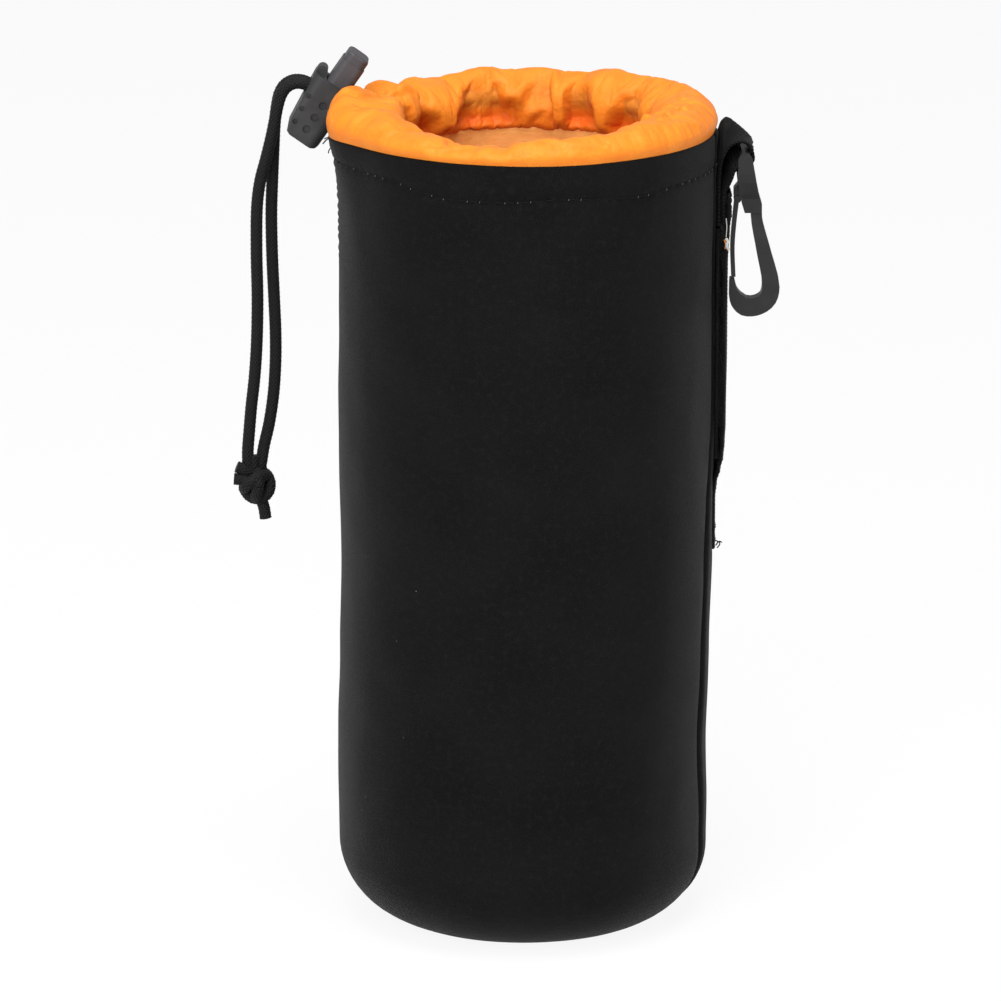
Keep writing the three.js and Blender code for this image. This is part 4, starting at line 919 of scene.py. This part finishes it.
def relaxed(piece, freedom, swelling):
    """Lets Blender's cloth grow and buckle a mesh. Each vertex has its freedom, from 0, held, to 1, and
    its swelling: the share of the growth."""
    mesh = piece.data
    start = [v.co.copy() for v in mesh.vertices]
    for vertex in mesh.vertices:
        vertex.co *= SIM_SCALE
    held = piece.vertex_groups.new(name="held")
    stays = piece.vertex_groups.new(name="stays")
    for index, (free, share) in enumerate(zip(freedom, swelling)):
        held.add([index], 1 - free, "REPLACE")
        stays.add([index], 1 - share, "REPLACE")
    cloth = piece.modifiers.new("Cloth", "CLOTH")
    assign(
        cloth.settings, quality=6, mass=0.1, air_damping=3, tension_stiffness=25, compression_stiffness=25,
        shear_stiffness=8, bending_stiffness=2.5, vertex_group_mass="held", vertex_group_shrink="stays",
        shrink_min=-GROWTH, use_pressure=True, uniform_pressure_force=PRESSURE,
    )
    cloth.settings.effector_weights.gravity = 0
    cloth.collision_settings.use_collision = False
    for step in range(1, 21):
        bpy.context.scene.frame_set(step)
    solved = piece.evaluated_get(bpy.context.evaluated_depsgraph_get()).data
    moved = [v.co / SIM_SCALE for v in solved.vertices]
    piece.modifiers.remove(cloth)
    piece.vertex_groups.clear()
    bpy.context.scene.frame_set(1)
    for vertex, old, new, free in zip(mesh.vertices, start, moved, freedom):
        step = new - old
        cap = MOST_SWELL * free * MM
        far = step.length
        vertex.co = old + step * (min(far, cap) / far if far else 0)


def make_collar():
    sections = []
    for c in range(COLLAR_COLUMNS):
        line = curve_through([(r, 0, z) for r, z in collar_section(360 * c / COLLAR_COLUMNS)], 0.4)
        length = sum((b - a).length for a, b in zip(line, line[1:]))
        sections.append(evenly(line, length / COLLAR_ROWS))

    def place(r, c):
        degrees = 360 * c / COLLAR_COLUMNS
        angle = math.radians(degrees)
        line = sections[c % COLLAR_COLUMNS]
        point = line[min(r, len(line) - 1)]
        ahead = line[min(r + 1, len(line) - 1)] - line[max(r - 1, 0)]
        normal = Vector((-ahead.z, 0, ahead.x)).normalized()
        share = r / COLLAR_ROWS
        free = smooth(0.06, 0.2, share) * smooth(1, 0.9, share)
        x, y = math.cos(angle), math.sin(angle)
        creases = 0.3 * soft_noise(14 * x, 14 * y, 1.6 * share) + 0.12 * soft_noise(34 * x, 34 * y, 3 * share)
        moved = point + normal * (free * creases - crease_at(degrees, share))
        radius = moved.x + flare_at(degrees, WALL_TOP) * smooth(0.62, 0.3, share)
        return Vector((radius * x, radius * y, moved.z)), (POUCH_RADIUS * angle, share * SECTION_LENGTH)

    collar = grid_mesh("gathered_collar", COLLAR_ROWS, COLLAR_COLUMNS, place)
    shares = [index // COLLAR_COLUMNS / COLLAR_ROWS for index in range(len(collar.data.vertices))]
    freedom = [smooth(0.05, 0.3, share) * smooth(0.99, 0.93, share) for share in shares]
    swelling = [0.15 + 0.85 * smooth(0.3, 0.6, share) for share in shares]
    relaxed(collar, freedom, swelling)
    for index, vertex in enumerate(collar.data.vertices):
        point = clear_of_cord(vertex.co / MM)
        if index < 0.3 * COLLAR_ROWS * COLLAR_COLUMNS:
            point = behind_edge(point)
        vertex.co = point * MM
    shade_collar(collar)
    finished(collar, NYLON, "orange_nylon", "drawstring_collar")
    modified(collar, "SUBSURF", levels=1, render_levels=1)
    modified(collar, "SOLIDIFY", thickness=CLOTH_THICKNESS * MM, offset=1)


def shade_collar(collar):
    """Says where paint darkens the cloth: painted shade deep in a fold, and the painted shadow of the dark
    cord behind it.
    """
    painted_fold_shades = []
    painted_cord_shades = []
    for index, vertex in enumerate(collar.data.vertices):
        point = vertex.co / MM
        row, column = divmod(index, COLLAR_COLUMNS)
        share = row / COLLAR_ROWS
        degrees = 360 * column / COLLAR_COLUMNS
        inner = math.hypot(point.x, point.y) - mouth_radius(degrees)
        # Painted shade in the folds: stronger below the wall's top and further out from the mouth's edge.
        low = smooth(WALL_TOP, FOOT_HEIGHT + 1, point.z) * smooth(0.5, 0.7, share)
        painted_fold_shades.append(min(1, (0.3 + 0.7 * smooth(0, 3.5, inner)) * low))
        # Painted shadow of the cord: strongest on the cloth close over it.
        gap = math.hypot(inner - HEM_INSET, point.z - hem_height(degrees))
        painted_cord_shades.append(smooth(3.7, 1.9, gap) * smooth(0.5, 0.6, share) * smooth(1.2, 3, inner))
    write_values(collar, "fold", painted_fold_shades)
    write_values(collar, "cord_near", painted_cord_shades)


make_lining()
make_collar()


# Webbing
def band_mesh(name, count, width, thickness, length, place, rib=RIB_HEIGHT):
    """A ribbed band with soft edges: place(share of its length, sideways, out) gives a point."""
    across = 28
    half = width / 2
    top = [(-half + width * i / across, 1) for i in range(across + 1)]
    loop = top + [(x, -1) for x, _ in reversed(top)]

    def spot(r, c):
        side, face = loop[c % len(loop)]
        share = r / count
        along = share * length
        edge = smooth(0, 1.2, half - abs(side))
        wave = math.sin(2 * math.pi * along / RIB_PITCH)
        out = face * (thickness / 2 * lerp(0.55, 1, edge) + rib * wave * edge)
        wander = 0.12 * soft_noise(along / 7, face * 2) + 0.05 * wave
        side += wander * (1 if side > 0 else -1) * (1 - edge)
        return place(share, side, out), (c * width / across, along)

    return grid_mesh(name, count, len(loop), spot)


def on_side(radius, height, sideways):
    """A point on the strap's side of the pouch, some way sideways along the wall."""
    return on_pouch(radius, STRAP_TURN + math.degrees(sideways / POUCH_RADIUS), height)


def make_strap():
    middle = STRAP_THICKNESS / 2

    def place(share, side, out):
        height = lerp(STRAP_BOTTOM, STRAP_TOP, share)
        wave = 0.18 * soft_noise(height / 18, side / 9)
        out *= lerp(0.35, 1, smooth(STRAP_TOP, STRAP_TOP - 0.6, height))
        return on_side(between(STRAP_LINE, height) + middle + out + wave, height, side)

    strap = band_mesh("webbing_strap", 400, STRAP_WIDTH, STRAP_THICKNESS, STRAP_TOP - STRAP_BOTTOM, place)
    finished(strap, WEBBING, "black_webbing", "belt_strap")


def make_backing():
    middle = BACKING_THICKNESS / 2

    def place(share, side, out):
        height = lerp(BACKING_BOTTOM, BACKING_TOP, share)
        return on_side(BACKING_RADIUS + middle + out * 0.95, height, side)

    length = BACKING_TOP - BACKING_BOTTOM
    backing = band_mesh("webbing_backing", 260, STRAP_WIDTH, BACKING_THICKNESS, length, place)
    finished(backing, WEBBING, "black_webbing", "strap_backing")


def resampled(points, count):
    """A smooth line through points in X and Z, with the given number of even steps."""
    line = curve_through([(x, 0, z) for x, z in points], 0.1)
    return evenly(line, 0.1 * (len(line) - 1) / count)


def make_web():
    count = 420
    front = resampled(WEB_FRONT, count)
    back = resampled(WEB_BACK, count)
    last = min(len(front), len(back)) - 1

    def place(share, side, out):
        i = round(share * last)
        before, after = max(i - 1, 0), min(i + 1, last)
        across = side / WEB_WIDTH + 0.5
        ahead = (front[after] - front[before]).lerp(back[after] - back[before], across)
        normal = Vector((-ahead.z, 0, ahead.x)).normalized()
        return front[i].lerp(back[i], across) + normal * out + Vector((0, side, 0))

    web = band_mesh("hook_web", last, WEB_WIDTH, WEB_THICKNESS, WEB_LENGTH, place, rib=WEB_RIB_HEIGHT)
    finished(web, WEBBING, "black_webbing", "hook_webbing")


make_strap()
make_backing()
make_web()


# Stitching and loose threads
def stitches(name, places, length, thickness, material, slot_name="black_cord"):
    """One mesh of short, round-ended stitches. Each place is (middle, direction, outward normal)."""
    sides, rings = 8, 6
    points = []
    faces = []
    for middle, direction, normal in places:
        direction = direction.normalized()
        normal = (normal - direction * normal.dot(direction)).normalized()
        across = direction.cross(normal)
        start = len(points)
        for i in range(rings + 1):
            share = 2 * i / rings - 1
            girth = math.sqrt(max(1 - share ** 4, 0.02)) * thickness / 2
            sag = -0.35 * thickness * share * share
            for j in range(sides):
                angle = 2 * math.pi * j / sides
                offset = normal * (girth * math.sin(angle) + sag) + across * girth * math.cos(angle)
                points.append(middle + direction * share * length / 2 + offset)
        for i in range(rings):
            for j in range(sides):
                a = start + i * sides + j
                b = start + i * sides + (j + 1) % sides
                faces.append([a, b, b + sides, a + sides])
        faces.append([start + j for j in range(sides)][::-1])
        faces.append([start + rings * sides + j for j in range(sides)])
    finished(mesh_piece(name, points, faces), material, slot_name)


def stitch_spot(degrees):
    """A place on the row of stitches below the top edge."""
    height = stitch_height(degrees)
    reach = POUCH_RADIUS + flare_at(degrees, height) + wall_relief(degrees, height) + STITCH_LIFT
    return on_pouch(reach, degrees, height)


def make_topstitch():
    """A row of black stitches in a groove, with small grey specks at the ends of some of them."""
    places = []
    specks = []
    count = round(2 * math.pi * POUCH_RADIUS / STITCH_PITCH)
    step = 360 / count
    for i in range(count):
        degrees = step * i
        ahead = stitch_spot(degrees + step / 2)
        outward = polar(1, degrees)
        places.append((stitch_spot(degrees), ahead - stitch_spot(degrees - step / 2), outward))
        if soft_noise(i * 0.77, 3.1) > -0.05:
            specks.append((ahead + outward * 0.1, Vector((0.3, 0.2, 1)), outward))
    stitches("topstitch", places, STITCH_LENGTH, THREAD, BLACK_THREAD)
    stitches("topstitch_specks", specks, 0.55, 0.24, GREY_THREAD)


def make_base_seam():
    """Overlocked stitches across the ring where the base meets the wall."""
    places = []
    count = 84
    for i in range(count):
        degrees = 360 * i / count
        slanted = polar(1, degrees) + polar(0.35, degrees + 90)
        places.append((on_pouch(BASE_RADIUS, degrees, 0) + Vector((0, 0, 0.32)), slanted, Vector((0, 0, -1))))
    stitches("base_seam", places, 3, THREAD, BLACK_THREAD)


def make_hem_stitches():
    """The row of stitches that closes the cord's channel, seen inside the mouth."""
    places = []
    count = 96
    for i in range(count):
        degrees = 360 * i / count
        middle = polar(foot_radius(degrees) - 0.1, degrees, FOOT_HEIGHT - 0.1)
        places.append((middle, polar(1, degrees + 90), polar(-1, degrees)))
    stitches("hem_stitches", places, 1.1, 0.45, DARK_ORANGE_THREAD, "orange_nylon")


def make_strap_stitches():
    """A box of stitches with one diagonal across it at the strap's top, and two rows across its foot."""
    places = []
    radius = STRAP_LINE[-1][1] + STRAP_THICKNESS + 0.06
    low, high = STRAP_TOP - 7, STRAP_TOP - 1.4
    half = STRAP_WIDTH / 2 - 1.8
    corners = [(-half, low), (half, low), (half, high), (-half, high), (-half, low), (half, high)]
    runs = [(radius, a, b) for a, b in zip(corners, corners[1:])]
    foot = STRAP_LINE[0][1] + STRAP_THICKNESS + 0.06
    for height in (STRAP_BOTTOM + 1.6, STRAP_BOTTOM + 5.4):
        runs.append((foot, (-half, height), (half, height)))
    for reach, (s0, z0), (s1, z1) in runs:
        count = max(2, round(math.hypot(s1 - s0, z1 - z0) / 2.2))
        for i in range(count):
            share = (i + 0.5) / count
            side, height = lerp(s0, s1, share), lerp(z0, z1, share)
            middle = on_side(reach, height, side)
            ahead = on_side(reach, height + (z1 - z0) * 0.05, side + (s1 - s0) * 0.05) - middle
            places.append((middle, ahead, Vector((middle.x, middle.y, 0))))
    stitches("strap_stitches", places, 1.7, THREAD, BLACK_THREAD, "black_webbing")


def loose_thread(name, points, diameter, material):
    """A short end of sewing thread."""
    data = bpy.data.curves.new(name, "CURVE")
    assign(data, dimensions="3D", bevel_depth=diameter / 2 * MM, bevel_resolution=3)
    spline = data.splines.new("BEZIER")
    spline.bezier_points.add(len(points) - 1)
    for knot_point, place in zip(spline.bezier_points, points):
        knot_point.co = Vector(place) * MM
        knot_point.handle_left_type = knot_point.handle_right_type = "AUTO"
    finished(placed(name, data), material, "black_cord")


# Loose ends: on the strap's front edge beside the hook, at the strap's foot and under the collar.
LOOSE_THREADS = {
    "white_end": (0.24, PALE_THREAD, [(52.7, -6.6, 193.0), (52.9, -6.9, 190.6), (52.75, -7.0, 188.0)]),
    "tuft_pale": (0.85, PALE_THREAD, [
        (52.7, -7.0, 187.6), (53.2, -7.4, 186.8), (52.9, -7.5, 185.8), (53.5, -7.3, 184.6),
    ]),
    "tuft_orange": (0.42, ORANGE_THREAD, [(52.3, -6.9, 187.2), (52.7, -7.4, 186.0), (52.5, -7.2, 184.9)]),
    "foot_end_a": (0.35, BLACK_THREAD, [(50.9, -6.2, 104.6), (51.9, -6.7, 103.9), (51.2, -6.9, 102.7)]),
    "foot_end_b": (0.35, BLACK_THREAD, [(50.9, -6.0, 103.2), (51.8, -6.6, 104.4), (52.5, -6.8, 104.2)]),
    "edge_end_a": (0.35, BLACK_THREAD, [(-50.6, -4.0, 214.6), (-52.6, -4.6, 213.8), (-53.8, -4.9, 212.6)]),
    "edge_end_b": (0.3, BLACK_THREAD, [(-50.6, -3.4, 213.8), (-52.2, -4.0, 214.2), (-53.4, -4.4, 213.9)]),
    "edge_end_c": (0.3, BLACK_THREAD, [(-50.6, -4.6, 212.2), (-52.0, -5.2, 211.2), (-52.3, -5.3, 210.2)]),
}
make_topstitch()
make_base_seam()
make_hem_stitches()
make_strap_stitches()
for name, (diameter, material, points) in LOOSE_THREADS.items():
    loose_thread(name, points, diameter, material)


# Moulded pieces and the spring: the CAD nodes with their finish and, where moulded, softened edges.
def dress(node, material, edge=0):
    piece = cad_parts[node]
    piece.data.materials.clear()
    piece.data.materials.append(material)
    if edge:
        sharp = math.radians(32)
        modified(piece, "BEVEL", width=edge * MM, segments=3, limit_method="ANGLE", angle_limit=sharp)
        piece.data.shade_smooth()
        modified(piece, "WEIGHTED_NORMAL", keep_sharp=True)


dress("lock_barrel", BARREL_PLASTIC, 0.4)
dress("lock_plunger", PLUNGER_PLASTIC, 0.4)
dress("hook_frame", HOOK_PLASTIC, 0.45)
dress("hook_gate", HOOK_PLASTIC, 0.15)
dress("lock_spring", STEEL)


# Floor, background and light
def make_stage():
    bpy.ops.mesh.primitive_circle_add(vertices=96, radius=FLOOR_RADIUS_M, fill_type="NGON")
    floor = bpy.context.object
    floor.name = "floor"
    shader = Shader("floor", Roughness=0.9)
    patches = shader.noise(shader.object_place(), 0.01, 2.0)
    shader.set(Base_Color=shader.mix(patches, rgb(0.8, 0.8, 0.8), rgb(0.84, 0.84, 0.84)))
    rays = shader.node("ShaderNodeLightPath").outputs
    seen = shader.maths("MAXIMUM", rays["Is Camera Ray"], rays["Is Glossy Ray"])
    white = shader.node("ShaderNodeEmission", {"Color": rgb(1, 1, 1), "Strength": 1.0})
    shader.blend(shader.maths("MULTIPLY", seen, FLOOR_WHITENESS), white.outputs[0])
    floor.data.materials.append(shader.material)


def make_world():
    world = bpy.data.worlds.new("studio")
    bpy.context.scene.world = world
    world.use_nodes = True
    tree = world.node_tree
    tree.nodes.clear()
    out = tree.nodes.new("ShaderNodeOutputWorld")
    sky = tree.nodes.new("ShaderNodeBackground")
    sky.inputs["Color"].default_value = rgb(1, 1, 1)
    rays = tree.nodes.new("ShaderNodeLightPath").outputs
    strength = tree.nodes.new("ShaderNodeMapRange")
    strength.inputs["To Min"].default_value = SKY_STRENGTH
    strength.inputs["To Max"].default_value = 1.0
    tree.links.new(rays["Is Camera Ray"], strength.inputs["Value"])
    tree.links.new(strength.outputs[0], sky.inputs["Strength"])
    tree.links.new(sky.outputs[0], out.inputs["Surface"])


def softbox(name, place, aim, size, power):
    data = bpy.data.lights.new(name, "AREA")
    lamp = placed(name, assign(data, shape="RECTANGLE", size=size[0], size_y=size[1], energy=power))
    lamp.location = place
    lamp.rotation_euler = (Vector(aim) - Vector(place)).to_track_quat("-Z", "Y").to_euler()


make_stage()
make_world()
for name, lamp in LAMPS.items():
    softbox(name, *lamp)
bpy.context.scene.view_settings.view_transform = "Standard"
